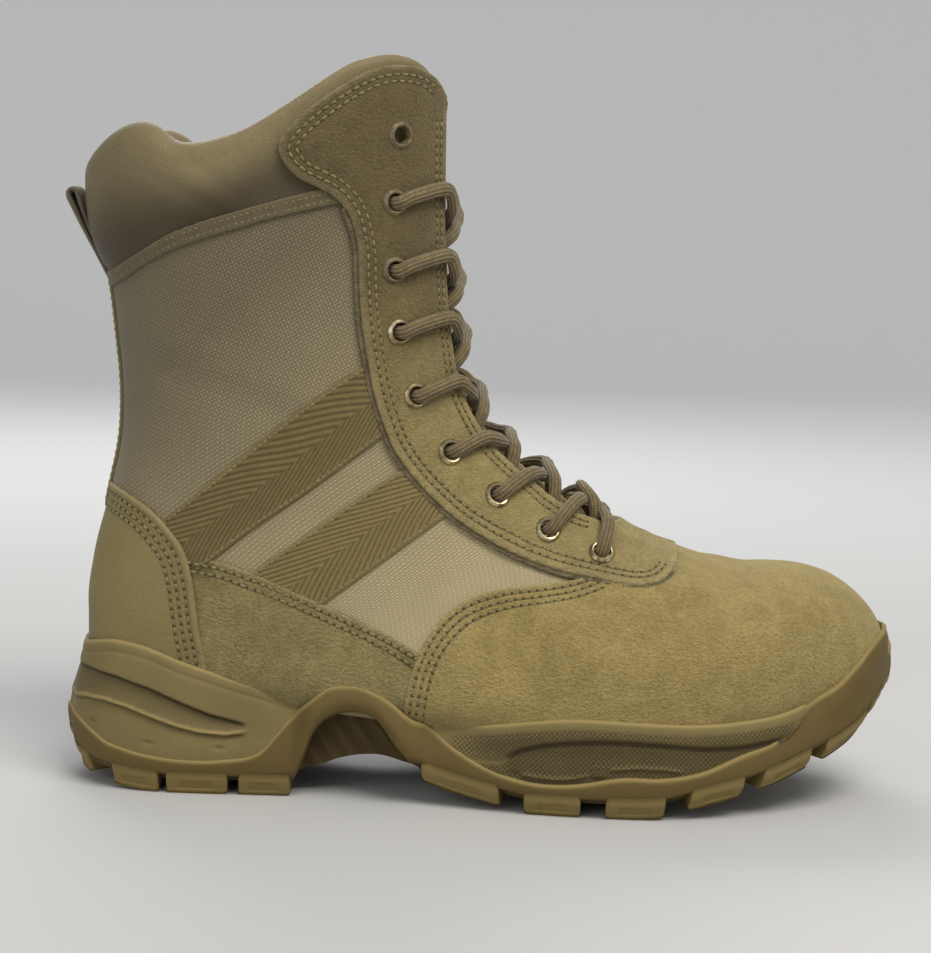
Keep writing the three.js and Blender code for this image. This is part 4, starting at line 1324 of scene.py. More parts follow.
def collar():
    """The padded collar: round over the rim, full at the back, thin where the facing covers it."""
    edge_u = float(throat_edge(1.2, 1.2, 1, 2)[0, 1])
    around, profile = 260, 56
    u = np.linspace(-edge_u, -2 + edge_u, around + 1)
    low, high = section_where(COLLAR_SEAM, u) + 0.06, section_where(curve(RIM, 2), u)
    turn = np.linspace(0, 1, profile + 1)
    points, uv = [], []
    for i, value in enumerate(u):
        place = last.at([high[i]], [value])[0][0]
        share = step_up(place[0], PAD["from"], PAD["to"])
        out = PAD["back_out"] * (1 - share) + PAD["front_out"] * share
        into = PAD["back_in"] * (1 - share) + PAD["front_in"] * share
        radius, middle = (out - into) / 2, (out + into) / 2
        tall = np.linalg.norm(last.at([low[i]], [value])[0][0] - place)
        bend = min(radius * 1.15 / tall, 0.45)
        lift, up = np.empty(profile + 1), np.empty(profile + 1)
        for k, t in enumerate(turn):
            if t < OUTSIDE:  # up the outside, swelling out over the seam
                rise = t / OUTSIDE
                up[k] = rise * (1 - bend)
                swell = 1 - math.exp(-rise / 0.16)
                lift[k] = 0.2 + (out - 0.2) * swell + 1.5 * (1 - share) * math.sin(math.pi * rise) * 0.7
            elif t < OVER:  # over the rim
                angle = math.pi * (t - OUTSIDE) / (OVER - OUTSIDE)
                up[k] = 1 - bend + bend * math.sin(angle)
                lift[k] = middle + radius * math.cos(angle)
            else:  # down the inside
                fall = (t - OVER) / (1 - OVER)
                up[k] = (1 - fall) * (1 - bend)
                lift[k] = into + (-2.4 - into) * max(fall - 0.86, 0) / 0.14
        s = low[i] + (high[i] - low[i]) * up
        base, normal = last.at(s, np.full(profile + 1, value))
        x, z = base[:, 0], base[:, 2]
        outside = 1 - step_up(turn, 0.42, 0.6)
        crease = -0.7 * bump(z + 0.5 * x, 158, 2.6) - 0.5 * bump(z + 0.7 * x, 149, 2.4)
        crease += 0.5 * bump(z + 0.6 * x, 153, 3.5)
        lift = lift + crease * outside * bump(x, -104, 20) * 0.45
        lift = lift + 0.25 * np.sin(value * 46) * np.sin(up * 3.1) * outside
        points.append(base + normal * lift[:, None])
        reach = value * last.half(high[i])
        uv.append(np.column_stack([np.full(profile + 1, reach), up * tall]) / 10)
    points, uv = np.vstack(points), np.vstack(uv)
    faces = tube_faces(around + 1, profile + 1)
    share_up = np.tile(np.clip(turn / OUTSIDE, 0, 1), around + 1)
    # painted shade, darkest at the seam and fading up the collar's outside
    lower_shade = 1 - step_up(share_up, 0.2, 1.0)
    values = {"rim": 0.2 * bump(share_up, 1, 0.3), "lower_shade": lower_shade}
    piece = make_object("collar_pad", points, faces, "collar", uv, values, 60)
    face_outwards(piece)
    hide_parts("collar")
    return piece


def tongue():
    """A padded tongue behind the lacing, swelling between its stitched borders."""
    s = np.linspace(0.95, 14.6, 80)
    half = np.interp(s, [0.9, 2, 6, 12.5, 14.6], [25, 28, 27, 24, 16])
    edge = np.column_stack([s, -half / last.half(s)])
    outline = np.vstack([edge, mirrored(edge)])

    def swell(points, s, u, far):
        ribs = 0.5 * np.cos(2 * math.pi * s / 1.6) * step_up(far, 4, 10)
        return 1.4 * step_up(far, 1.5, 9) + ribs * 0.6

    seams = [within(stretch(edge * [1, side], 0.01, 0.99), 3.0, outline) for side in (1, -1)]
    piece = panel("tongue_pad", outline, "fabric", base=-10.8, thick=3.0, grain=2.8,
                  edge=1.2, seams=seams, height=swell, sunk=0.0)
    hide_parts("tongue")
    sew(seams, -7.7)


def pull_loop():
    """A webbing strap from the back seam up and over a short fold, and down behind the collar."""
    width, thick = 16.0, 1.7
    outer_leaf = [(-136.5, 177), (-139.4, 182.5), (-143.5, 190), (-148.6, 199), (-152.6, 206.5),
                  (-154.3, 210)]
    fold = [(-154.2, 212), (-152.6, 212.8), (-151.2, 211.4)]
    inner_leaf = [(-149.8, 207.5), (-146.6, 199.5), (-143, 192), (-139.8, 186), (-136.6, 180)]
    path = curve(outer_leaf + fold + inner_leaf, 0.8)
    tangent = np.gradient(path, axis=0)
    tangent /= np.linalg.norm(tangent, axis=1)[:, None]
    normal = np.column_stack([-tangent[:, 1], tangent[:, 0]])
    columns = np.linspace(-width / 2, width / 2, 25)
    points, uv = [], []
    run = np.arange(len(path)) * 0.8
    for face in (1, -1):
        for (x, z), (nx, nz), at in zip(path, normal, run):
            for y in columns:
                ribs = 0.12 * math.sin(2 * math.pi * y / 2.0) * (abs(y) < width / 2 - 1.2)
                round_off = 0.5 * math.exp(-(width / 2 - abs(y)) / 0.4)
                d = face * (thick / 2 + ribs - round_off)
                points.append((x + nx * d, y, z + nz * d))
                uv.append((at / 10, y / 10))
    rows, cols = len(path), len(columns)
    index = np.arange(2 * rows * cols).reshape(2, rows, cols)
    faces = []
    for face in (0, 1):
        g = index[face]
        quads = np.stack([g[:-1, :-1], g[:-1, 1:], g[1:, 1:], g[1:, :-1]], -1).reshape(-1, 4)
        faces += [tuple(q if face else q[::-1]) for q in quads]
    for j in (0, cols - 1):
        for i in range(rows - 1):
            faces.append((index[0, i, j], index[0, i + 1, j], index[1, i + 1, j], index[1, i, j]))
    for i in (0, rows - 1):
        for j in range(cols - 1):
            faces.append((index[0, i, j], index[0, i, j + 1], index[1, i, j + 1], index[1, i, j]))
    values = {"rim": np.zeros(len(points)), "raw_edge_and_shade": np.zeros(len(points))}
    piece = make_object("loop_webbing", points, faces, "loop", uv, values, 60)
    face_outwards(piece)
    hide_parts("pull_loop")


# ---- Eyelets and lace ----
def eyelet_model():
    """One eyelet at the origin, spun round Z: a rolled flange, a bright inner lip and a barrel."""
    flange, hole, height = EYELET["outer"], EYELET["hole"], EYELET["height"]
    profile = [(hole - 0.25, -4.0), (hole - 0.25, height * 0.35), (hole + 0.05, height * 0.9),
               (hole + 0.55, height), (flange - 0.7, height * 0.78), (flange - 0.12, height * 0.38),
               (flange, 0.0), (flange - 0.25, -0.3), (hole + 0.3, -0.3), (hole + 0.2, -4.0)]
    bpy.ops.object.select_all(action="DESELECT")
    mesh = bpy.data.meshes.new("eyelet")
    count = len(profile)
    edges = [(i, (i + 1) % count) for i in range(count)]
    mesh.from_pydata([(r * MM, 0, z * MM) for r, z in profile], edges, [])
    piece = added("eyelet", mesh)
    choose(piece)
    bpy.ops.object.mode_set(mode="EDIT")
    bpy.ops.mesh.select_all(action="SELECT")
    bpy.ops.mesh.spin(steps=28, angle=2 * math.pi, center=(0, 0, 0), axis=(0, 0, 1))
    bpy.ops.mesh.select_all(action="SELECT")
    bpy.ops.mesh.remove_doubles(threshold=1e-6)
    bpy.ops.mesh.normals_make_consistent(inside=False)
    bpy.ops.object.mode_set(mode="OBJECT")
    return piece


def eyelets():
    model = eyelet_model()
    for row, (s, reach) in enumerate(EYELETS):
        for side, label in SIDES:
            u = side * reach / last.half(s)
            point, normal = last.at([s], [u])
            place = (point[0] + normal[0] * (FACING_TOP + 0.35) + ORIGIN) * MM
            turn = Vector(normal[0]).to_track_quat("Z", "Y").to_matrix().to_4x4()
            copy = added(f"eyelet_{label}_{row + 1}_brass", model.data.copy())
            copy.data.transform(Matrix.Translation(place) @ turn)
            finish(copy, "painted" if row < 3 else "metal", 40)
            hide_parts(f"eyelet_{label}_{row + 1}")
    bpy.data.objects.remove(model)


# For each laced row: the section where a strand meets the ridge, and where it dives under the edge.
CROSSINGS = {
    1: (2.98, 3.3), 2: (3.98, 4.35), 3: (5.0, 5.5), 4: (6.25, 6.75), 5: (7.32, 8.0), 6: (8.58, 9.35),
    7: (9.5, 10.62),
}


LACE = {"wide": 2.55, "flat": 2.0, "ribs": 5, "rib": 0.17}  # half sizes, and the share that is ribbed


def crossing(row, side):
    """Section, reach and lift of one strand: out of an eyelet, over the gap, under the other edge."""
    (s0, r0), (s1, r1) = EYELETS[row], EYELETS[row + 1]
    ridge, dive = CROSSINGS[row]
    gap = line_at(THROAT, dive)
    crown = -1.7 if side == OUTER else 2.5 if row < 7 else 4.0
    lean = 0.45 * max(s0 - ridge, 0)
    away = s0 + 0.35 * (ridge - s0) if ridge > s0 else s0 - 0.12 - 1.1 * lean
    return [(s0, side * r0, -3.9), (s0, side * r0, 0.5), (s0 + 0.02, side * (r0 - 1.2), 4.3),
            (s0 - 0.06 - 0.4 * lean, side * (r0 - 6), 5.7), (s0 - 0.12 - lean, side * (gap + 3.0), 5.6),
            (away, side * (gap - 2.0), 4.6 if side == OUTER else 5.4),
            (0.45 * away + 0.55 * ridge, side * 0.45 * gap, 0.8 if side == OUTER else 4.4),
            (ridge, 0.0, crown),
            (0.55 * ridge + 0.45 * dive, -side * 0.5 * gap, crown - 0.2 if side == INNER else 0.0),
            (dive, -side * (gap - 2.2), -1.6), (dive + 0.12, -side * (gap + 2.5), -4.6),
            (0.4 * dive + 0.6 * s1, -side * (0.3 * gap + 0.7 * r1), -4.9)]


def lace_route():
    """The whole lace: up one side's eyelets from the top, over the bar, and back on the other side."""
    rows = sorted(CROSSINGS)
    route = []
    for k in rows:
        route += crossing(k, OUTER if k % 2 else INNER)
    s, reach = EYELETS[-1]
    side = INNER if rows[-1] % 2 else OUTER
    bar = [(s, reach, -3.9), (s, reach, 0.5), (s - 0.12, reach - 1.5, 4.4), (s - 0.62, reach - 7, 5.9),
           (s - 1.18, reach - 13, 5.6), (s - 1.76, reach - 19, 3.2)]
    route += [(at, side * r, lift) for at, r, lift in bar] + [(s - 2.1, 0.0, 0.6)]
    route += [(at, -side * r, lift) for at, r, lift in bar[::-1]]
    for k in reversed(rows):
        route += crossing(k, INNER if k % 2 else OUTER)[::-1]
    return np.array(route)


def lace():
    route = lace_route()
    u = route[:, 1] / last.half(route[:, 0])
    base, normal = last.at(route[:, 0], u)
    knots = np.column_stack([base + normal * route[:, 2:3], normal])
    fine = smooth_rows(knots, np.linspace(0, len(knots) - 1, 14 * (len(knots) - 1) + 1))
    fine = resample(fine, 1.25)
    path, up = fine[:, :3], fine[:, 3:]
    tangent = np.gradient(path, axis=0)
    tangent /= np.linalg.norm(tangent, axis=1)[:, None]
    # carried frames, pulled gently towards the surface normal where the lace lies along it
    frames = []
    side = np.cross(up[0], [0.2, 0.9, 0.3])
    for t, n in zip(tangent, up):
        side = side - t * (side @ t)
        side /= np.linalg.norm(side)
        wish = np.cross(t, n / np.linalg.norm(n))
        if wish @ side < 0:
            wish = -wish
        side = side + 0.35 * np.linalg.norm(wish) * wish
        side = side - t * (side @ t)
        side /= np.linalg.norm(side)
        frames.append((side.copy(), np.cross(side, t)))
    sides, wide, flat = 40, LACE["wide"], LACE["flat"]
    points, uv, groove = [], [], []
    run = 0.0
    for i, (centre, (across, out)) in enumerate(zip(path, frames)):
        run += np.linalg.norm(path[i] - path[i - 1]) if i else 0
        for k in range(sides):
            turn = 2 * math.pi * k / sides
            rib = abs(math.cos(LACE["ribs"] * turn)) ** 0.6
            size = 1 - LACE["rib"] + LACE["rib"] * rib
            points.append(centre + (across * wide * math.cos(turn) + out * flat * math.sin(turn)) * size)
            uv.append((run / 10, k / sides * 2.4))
            # the darkness of the grooves between the ribs, a painted shade
            groove.append(1 - rib)
    piece = make_object("lace_braid", points, tube_faces(len(path), sides), "cord", uv,
                        {"raw_edge_and_shade": np.array(groove), "rim": np.zeros(len(points))}, 180)
    face_outwards(piece)
    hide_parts("lace")


# ---- The sole ----
# x, reach outwards, reach inwards, height of the tread, of the joint, and of the cup's rim.
SOLE = np.array([
    [-149.7, 7, 7, 8, 23.8, 49.6], [-146.4, 19, 19, 5, 23.8, 50.2], [-139.9, 28, 28, 3.2, 20.4, 51.9],
    [-132.5, 33.5, 33.5, 1.8, 16.4, 53.2], [-120, 37.4, 37.2, 0.4, 13.5, 51.8],
    [-107, 38.5, 38.3, 0, 12, 47.3], [-92, 38.2, 37.6, 0, 12.2, 42.7], [-78, 37.6, 36.4, 0, 15.5, 38.7],
    [-66, 37.4, 35, 0, 29, 35.5], [-59, 37.6, 34.2, 2, 36, 37.5], [-51, 38, 33.4, 4, 42, 40.2],
    [-42, 38.8, 32.8, 6, 42, 40.2], [-32, 40.3, 33, 8, 37, 35.8], [-22, 42.2, 34, 8.6, 30, 28.6],
    [-10, 45, 36.2, 5.6, 21.5, 29], [4, 48, 39, 2.6, 14.6, 30.6], [18, 50.6, 42.6, 0, 11.2, 32.8],
    [33, 52.4, 46.4, 0, 11.4, 34.4], [50, 53.4, 50.4, 0, 14.5, 34.2], [64, 53, 53, 0.8, 14.7, 33.7],
    [78, 50.8, 54.4, 4.4, 17, 33.6], [92, 46.8, 54.2, 7.6, 22.5, 34.5], [105, 40.8, 52.4, 11, 27, 36],
    [117, 35.6, 49.3, 16, 38.2, 39.4], [127, 29.6, 46, 19.8, 46, 44], [136, 22, 41, 24.2, 60, 52],
    [143.2, 12.6, 33.6, 29.6, 70, 58.5], [148.2, 2.6, 24.2, 34, 75, 60.8],
    [151, -4.2, 16.6, 36.6, 78, 61.2],
])
SOLE_LEVELS = [(0, 4.2), (0.16, 0.9), (0.42, 0), (0.72, 1.4), (1, 3.8)]  # share of the height, inset
ARCH_BAND = [
    (-67.5, -5), (-66, 5), (-62.4, 13.7), (-59.6, 22), (-55.8, 27.8), (-50, 31.2), (-44.5, 32), (-39, 31.2),
    (-35, 28.4), (-30, 22), (-25, 16.5), (-20, 11.5), (-15, 6.5), (-13, -5),
]
ARCH_WEB = [
    (-66.5, -5), (-65, 7.5), (-56, 11), (-50, 13.4), (-42.5, 14.9), (-35.5, 15.1), (-28, 13.2), (-20, 9.6),
    (-14, -5),
]
WEB = {"outer": 29.0, "inner": 25.5}  # the recessed web's two faces
CUP_MARGIN = 2.4  # the rim of the heel cup stands this far off the last
LIP_MARGIN = 2.6  # and the toe bumper's lip this far
LUG_HEIGHT = 6.9
LUG_REACH = 17.0
TREAD_FLOOR = 4.5  # depth of the grooves in the middle
SIDE_LUGS = [
    (-131.5, -114.4), (-110.6, -88.8), (-84.6, -66.8), (-20.5, 6.6), (15.4, 36.0), (44.6, 65.8),
    (74.8, 93.6), (101.2, 118.2), (124.4, 140.5),
]
TOE_LUGS = [(-24.0, -14.0), (-11.0, 0.5), (3.5, 15.0), (18.0, 27.5)]  # along the edge
HEEL_LUGS = [(-27.5, -12.0), (-8.0, 8.0), (12.0, 27.5)]
# Sculpted lines of the midsole's side, x and z.
HEEL_GROOVE = [
    (-152, 42.9), (-141.8, 42.7), (-130.5, 41.4), (-117.6, 38), (-106, 33.3), (-95.6, 29.4), (-83.4, 26.6),
]
HEEL_LEDGE = [
    (-152, 29.8), (-146.6, 30.9), (-142, 32.2), (-134, 32.4), (-125.6, 30.8), (-117, 28), (-107.9, 25),
    (-99.1, 23), (-90, 22.3), (-83.2, 23.4),
]
FORE_GROOVE = [
    (7.1, 18.4), (9.7, 20.5), (14.9, 23.3), (22.2, 25.4), (32, 26.9), (42.6, 27.6), (51.9, 27.6),
    (65.2, 26.9), (78.8, 25.9), (90.9, 26.2), (100, 27.3), (109, 29),
]
FORE_RIDGES = [[(14.6, 14.9), (20, 14.2), (26.6, 13.9), (33, 14.5), (38, 15.9)],
               [(45.2, 18.2), (55.5, 19.2), (65.6, 18.9), (71, 18)]]


def sole_value(x, column):
    """A smooth column of the sole's table at any x."""
    at = np.interp(x, SOLE[:, 0], np.arange(len(SOLE)))
    return np.maximum(smooth_rows(SOLE, np.atleast_1d(at))[:, column], 0)


class Edge:
    """The sole's outline as a closed line in even steps, with its inward direction and its arc length."""

    def __init__(self, step=1.0):
        fine = np.linspace(0, len(SOLE) - 1, 10 * (len(SOLE) - 1) + 1)
        rows = smooth_rows(SOLE, fine)
        outer = np.column_stack([rows[:, 0], -rows[:, 1]])
        inner = np.column_stack([rows[:, 0], rows[:, 2]])[::-1]
        toe = self.cap(outer[-1], inner[0], 1.7)
        heel = self.cap(inner[-1], outer[0], -2.4)
        ring = np.vstack([outer, toe, inner, heel])
        ring = resample(np.vstack([ring, ring[:1]]), step)[:-1]
        for _ in range(3):
            ring = (np.roll(ring, 1, axis=0) + 2 * ring + np.roll(ring, -1, axis=0)) / 4
        self.points = ring
        run = np.roll(ring, -1, axis=0) - np.roll(ring, 1, axis=0)
        run /= np.linalg.norm(run, axis=1)[:, None]
        self.inward = np.column_stack([-run[:, 1], run[:, 0]])
        self.arc = np.r_[0, np.cumsum(np.linalg.norm(np.diff(ring, axis=0), axis=1))]
        self.length = self.arc[-1] + np.linalg.norm(ring[0] - ring[-1])
        self.toe = self.arc[np.argmax(ring[:, 0])]
        self.heel = self.arc[np.argmin(ring[:, 0])]

    @staticmethod
    def cap(start, end, bulge):
        t = np.linspace(0, 1, 8)[1:-1, None]
        line = start + t * (end - start)
        line[:, 0] += bulge * np.sin(math.pi * t[:, 0])
        return line

    def at(self, arc):
        """Points and inward directions at arc lengths."""
        arc = np.mod(np.asarray(arc, float), self.length)
        knots = np.r_[self.arc, self.length]
        point = [np.interp(arc, knots, np.r_[v, v[:1]]) for v in self.points.T]
        inward = [np.interp(arc, knots, np.r_[v, v[:1]]) for v in self.inward.T]
        return np.column_stack(point), np.column_stack(inward)

    def arc_at(self, x, side):
        """Arc length at an x on one side."""
        on_side = (self.points[:, 1] < 0) if side == OUTER else (self.points[:, 1] > 0)
        gap = np.where(on_side, np.abs(self.points[:, 0] - x), 1e9)
        return self.arc[np.argmin(gap)]


edge_line = Edge()
LEVEL_SHARES = np.linspace(0, 1, 41)
LEVEL_ROWS = np.interp(LEVEL_SHARES, [share for share, _ in SOLE_LEVELS], range(len(SOLE_LEVELS)))
LEVEL_INSETS = smooth_rows([[inset] for _, inset in SOLE_LEVELS], LEVEL_ROWS)[:, 0]


def wall_inset(x, z):
    """How far the sole's side stands in from its outline at a height."""
    tread, rim = sole_value(x, 3), sole_value(x, 5)
    return np.interp((z - tread) / (rim - tread), LEVEL_SHARES, LEVEL_INSETS)


def sculpt(x, z):
    """Relief of the midsole's side, inwards: the scooped heel wedge, and the sunk forefoot panel."""
    depth = np.zeros_like(x)
    high, low = line_at(HEEL_GROOVE, x), line_at(HEEL_LEDGE, x)
    heel = (1 - step_up(x, -85.2, -82.2)) * (0.25 + 0.75 * step_up(x, -147, -140))
    share = np.clip((high - z) / np.maximum(high - low, 0.6), 0, 1)
    fade = 1 - step_up(x, -92, -83)
    scoop = step_up(high - z, -0.5, 1.2) * (0.5 + 1.9 * fade - 2.0 * share * fade)
    scoop = scoop * (1 - step_up(low - z, -0.9, 0.9))
    below = step_up(low - z, -0.2, 1.6) * 1.4 * np.exp(-np.maximum(low - z - 1.0, 0) / 5.5)
    lip = -0.6 * bump(z, low + 0.7, 1.5)
    depth += heel * (scoop + below + lip)
    for px, pz in ((-139.1, 23.6), (-117.5, 18.3), (-92.1, 17.2)):
        depth += 0.8 * bump(x, px, 1.6) * bump(z, pz, 0.7)
    line = line_at(FORE_GROOVE, x)
    fore = between(x, 7.5, 10.5, 104, 109)
    depth += fore * (0.95 * bump(z, line, 0.75) + 0.85 * step_up(line - z, 0.0, 0.9))
    for ridge in FORE_RIDGES:
        ridge = np.array(ridge)
        start, end = ridge[0, 0], ridge[-1, 0]
        along = between(x, start, start + 1.5, end - 1.5, end)
        depth -= along * 1.0 * bump(z, line_at(ridge, x), 0.75)
    depth += 0.7 * bump(x, 12.6, 1.5) * bump(z, 14.6, 1.1)
    tab = (step_up(x, 39, 40) - step_up(x, 43.4, 44.4)) * (step_up(z, 15, 15.6) - step_up(z, 19, 19.6))
    depth -= 0.9 * tab
    return depth


def level_grid(points, inward, levels):
    """Points set in from a line and up, one column for each (inset, height) pair."""
    size = len(points)
    columns = []
    for inset, z in levels:
        place = points + inward * np.broadcast_to(inset, size)[:, None]
        columns.append(np.column_stack([place, np.broadcast_to(z, size)]))
    return np.stack(columns, axis=1)


def wall_map(arc, z):
    """A wall's map, in tens of millimetres along and up."""
    return np.stack([np.broadcast_to(arc[:, None], z.shape), z], -1).reshape(-1, 2) / 10


def bar_faces(count, size):
    """Faces of a bar: closed rings of `size` points at `count` stations, and its two ends."""
    index = np.arange(count * size).reshape(count, size)
    a, b = index[:-1], index[1:]
    faces = np.stack([a, b, np.roll(b, -1, axis=1), np.roll(a, -1, axis=1)], -1).reshape(-1, 4)
    return [tuple(f) for f in faces] + [tuple(index[0][::-1]), tuple(index[-1])]


def swept_wall(name, sections, material, values, uv):
    """A closed ring wall: `sections` holds one closed profile of equal length for each edge point."""
    count, size, _ = sections.shape
    index = np.arange(count * size).reshape(count, size)
    a, b = index, np.roll(index, -1, axis=0)
    c, d = np.roll(b, -1, axis=1), np.roll(a, -1, axis=1)
    faces = np.stack([a, b, c, d], -1).reshape(-1, 4)
    piece = make_object(name, sections.reshape(-1, 3), faces, material, uv, values, 42)
    face_outwards(piece)
    return piece


def ring_sections(levels):
    """Profiles all round the edge, with one inset and one height for each level."""
    return level_grid(edge_line.points, edge_line.inward, levels)


def follow_last(x, y, height, margin):
    """How much further in the sole's side must stand at a height, to keep this margin off the last."""
    s, u = np.meshgrid(np.linspace(5, 24.9, 220), np.linspace(-1, 1, 280))
    gap = nearness(np.column_stack([x, y, height]), last.on(s.ravel(), u.ravel()))
    inset = np.clip(gap - margin - wall_inset(x, height), -3, 5)
    for _ in range(6):
        inset = (np.roll(inset, 1) + 2 * inset + np.roll(inset, -1)) / 4
    return inset


def midsole():
    x, y = edge_line.points.T
    split, rim = sole_value(x, 4), sole_value(x, 5)
    fore = between(x, -12, 6, 112, 122)
    cup = follow_last(x, y, rim, CUP_MARGIN + 0.8 * fore) * (1 - step_up(x, -80, -64) + fore)
    foot = np.minimum(split, rim) - 1.0
    hidden = step_up(split - rim, -1.5, 0.5) * 1.6
    levels, knurl = [], []
    steps = 72
    for k in range(steps + 1):
        z = foot + (rim - foot) * k / steps
        inset = wall_inset(x, z) + sculpt(x, z) + hidden + cup * step_up((z - 20) / (rim - 20), 0, 1)
        inset = inset + 0.35 * bump(z, rim - 3.4, 0.7) * (split < rim)
        levels.append((inset, z))
        line = line_at(FORE_GROOVE, x)
        zone = between(x, -14, -8, 108, 114) * (1 - 0.75 * step_up(z, rim - 3.6, rim - 2.6))
        knurl.append(zone * (1 - bump(z, line, 0.9)))
    top_inset = wall_inset(x, rim) + hidden + cup
    for turn in (30, 60, 90):
        angle = math.radians(turn)
        levels.append((top_inset + 1.1 * (1 - math.cos(angle)) + 0.1, rim + 0.9 * math.sin(angle)))
    levels += [(top_inset + 3.4, rim + 0.2), (top_inset + 5.5, rim - 2.5), (top_inset + 6, foot)]
    knurl += [np.zeros_like(x)] * (len(levels) - len(knurl))
    sections = ring_sections(levels)
    knurl = np.stack(knurl, axis=1).ravel()
    z = sections[:, :, 2]
    line_high, line_fore = line_at(HEEL_GROOVE, x)[:, None], line_at(FORE_GROOVE, x)[:, None]
    in_heel = (1 - step_up(x, -85, -82))[:, None]
    in_fore = (between(x, 8, 12, 103, 108))[:, None]
    low = line_at(HEEL_LEDGE, x)[:, None]
    scooped = (z < line_high) * (z > low + 1.2)
    # Painted shade: darker under the heel groove and the ledge, in the heel scoop, and along and under the
    # forefoot groove. The forefoot's side is also darker below its top edge.
    dark = in_heel * (bump(z, line_high - 0.5, 0.8) + 0.35 * scooped)
    dark = dark + in_fore * (bump(z, line_fore - 0.3, 0.75) + 0.15 * (z < line_fore))
    dark = dark + in_heel * 0.6 * bump(z, low - 0.9, 0.6)
    dark = dark + 0.4 * step_up(x, -12, 8)[:, None] * (z < (rim - 3.2)[:, None])
    # painted highlights: lighter on top of the heel ledge, along the top edge and on the forefoot ridges
    light = in_heel * bump(z, low + 0.5, 0.7) + bump(z, (rim + 0.3)[:, None], 0.8)
    for ridge in FORE_RIDGES:
        ridge = np.array(ridge)
        along = ((x > ridge[0, 0]) & (x < ridge[-1, 0]))[:, None]
        light = light + along * bump(z, line_at(ridge, x)[:, None], 0.6)
    uv = wall_map(edge_line.arc, z)
    values = {"knurl": knurl, "rim": np.clip(light, 0, 1).ravel(), "raw_edge_and_shade": np.clip(dark, 0, 1).ravel()}
    piece = swept_wall("midsole_foam", sections, "foam", values, uv)
    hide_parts("midsole")


def wall_foot(x):
    """The lower edge of the outsole's side: the groove roofs, and the arch between the lugs."""
    arch = np.where((x > -67) & (x < -14), line_at(curve(ARCH_BAND, 1), x), -5)
    return np.maximum(sole_value(x, 3) + LUG_HEIGHT, arch)


def outsole_wall():
    """The outsole's side, rising as a band over the arch and as a bumper round the toe."""
    x, y = edge_line.points.T
    split, rim = sole_value(x, 4), sole_value(x, 5)
    foot = wall_foot(x)
    top = np.minimum(split, rim + 0.6)
    bead = 0.55 + 0.5 * step_up(split - rim, -2, 1)
    levels = []
    steps = 16
    lip = follow_last(x, y, top, LIP_MARGIN) * step_up(x, 110, 126)
    arch = between(x, -68, -58, -28, -16) * np.where(y < 0, 1.0, 0.8)
    for k in range(steps + 1):
        t = k / steps
        z = foot + (top - foot) * t
        round_foot = (1.0 + 1.6 * arch) * (1 - min(t / 0.14, 1)) ** 2
        belly = bead * (0.35 + 0.65 * math.sin(math.pi * min(t * 1.15, 1) / 1.6))
        belly = belly + arch * (2.8 + 2.6 * t + 1.5 * math.sin(math.pi * t))
        levels.append((wall_inset(x, z) - belly + round_foot + lip * step_up(t, 0.3, 1.0), z))
    crest = levels[-1][0]
    for turn in (25, 50, 75, 100):
        angle = math.radians(turn)
        levels.append((crest + 1.3 * (1 - math.cos(angle)), top + 1.0 * math.sin(angle)))
    levels += [(crest + 2.2, top - 0.6), (crest + 6.5, top - 1.2), (crest + 9.3, foot + 2.2)]
    levels += [(levels[0][0] + 8.6, foot + 0.4), (levels[0][0] + 5, foot), (levels[0][0] + 1.4, foot - 0.1)]
    sections = ring_sections(levels)
    z = sections[:, :, 2]
    # painted highlight along the wall's top bead, and painted shade at its foot
    light = bump(z, (top + 0.5)[:, None], 0.9)
    dark = 0.4 * bump(z, foot[:, None], 1.0)
    uv = wall_map(edge_line.arc, z)
    values = {"rim": light.ravel(), "raw_edge_and_shade": dark.ravel()}
    return swept_wall("outsole_wall", sections, "rubber", values, uv)


def lug(start, end, reach, name):
    """One tread block at the edge, from one arc length to another, with a sunk facet in its face."""
    length = end - start
    stations = np.r_[0, 0.35, 0.9, np.linspace(1.7, length - 1.7, max(int(length / 0.8), 4)),
                     length - 0.9, length - 0.35, length]
    corner = [0.9, 0.35, 0.08]  # how far the ends' rounded corners stand in
    edge_in = np.r_[corner, np.zeros(len(stations) - 6), corner[::-1]]
    points, inward = edge_line.at(start + stations)
    x = points[:, 0]
    tread = sole_value(x, 3)
    heights = [LUG_HEIGHT + 1.6, 6.4, 5.6, 5.0, 4.4, 3.6, 2.8, 2.1, 1.5, 1.0, 0.55, 0.2]
    t = stations / length
    loops = []
    for h in heights:
        z = tread + h
        inset = wall_inset(x, z) - 0.55
        slope = 0.06 * (h - 1.5)
        slant = slope * 0.4
        facet = between(t, 0.15 + slant, 0.24 + slant, 0.76 - slant, 0.85 - slant)
        facet = facet * (1.0 if 1.9 < h < 4.9 else 0.0)
        rounding = 0.75 * max(0.9 - h, 0) ** 1.5
        loops.append((inset + 0.75 * facet + rounding + edge_in, z + edge_in * 0.5 * (h < 1)))
    for c in (1.6, 3.5, reach * 0.45, reach - 2.0, reach - 0.8):
        loops.append((wall_inset(x, tread) * 0.4 + c, tread + edge_in * 0.6))
    loops += [(reach + 0.1 - edge_in, tread + 0.7 + edge_in * 0.3),
              (reach + 0.9 - edge_in, tread + LUG_HEIGHT + 1.6)]
    grid = level_grid(points, inward, loops)
    count, size, _ = grid.shape
    z = grid[:, :, 2] - tread[:, None]
    # painted light: the lugs' sides are paler than the rest of the rubber, with painted highlights near their
    # foot; their bottoms stay darker
    light = np.clip(0.75 + bump(z, 1.4, 0.5) * 0.25 + bump(z, 0.3, 0.5) * 0.25, 0, 1) * step_up(z, 8.4, 6.4)
    light[:, len(heights):] = 0.15
    values = {"rim": light.ravel(), "raw_edge_and_shade": np.zeros(count * size)}
    uv = wall_map(stations, z)
    return make_object(name, grid.reshape(-1, 3), bar_faces(count, size), "rubber", uv,
                       values, 42)


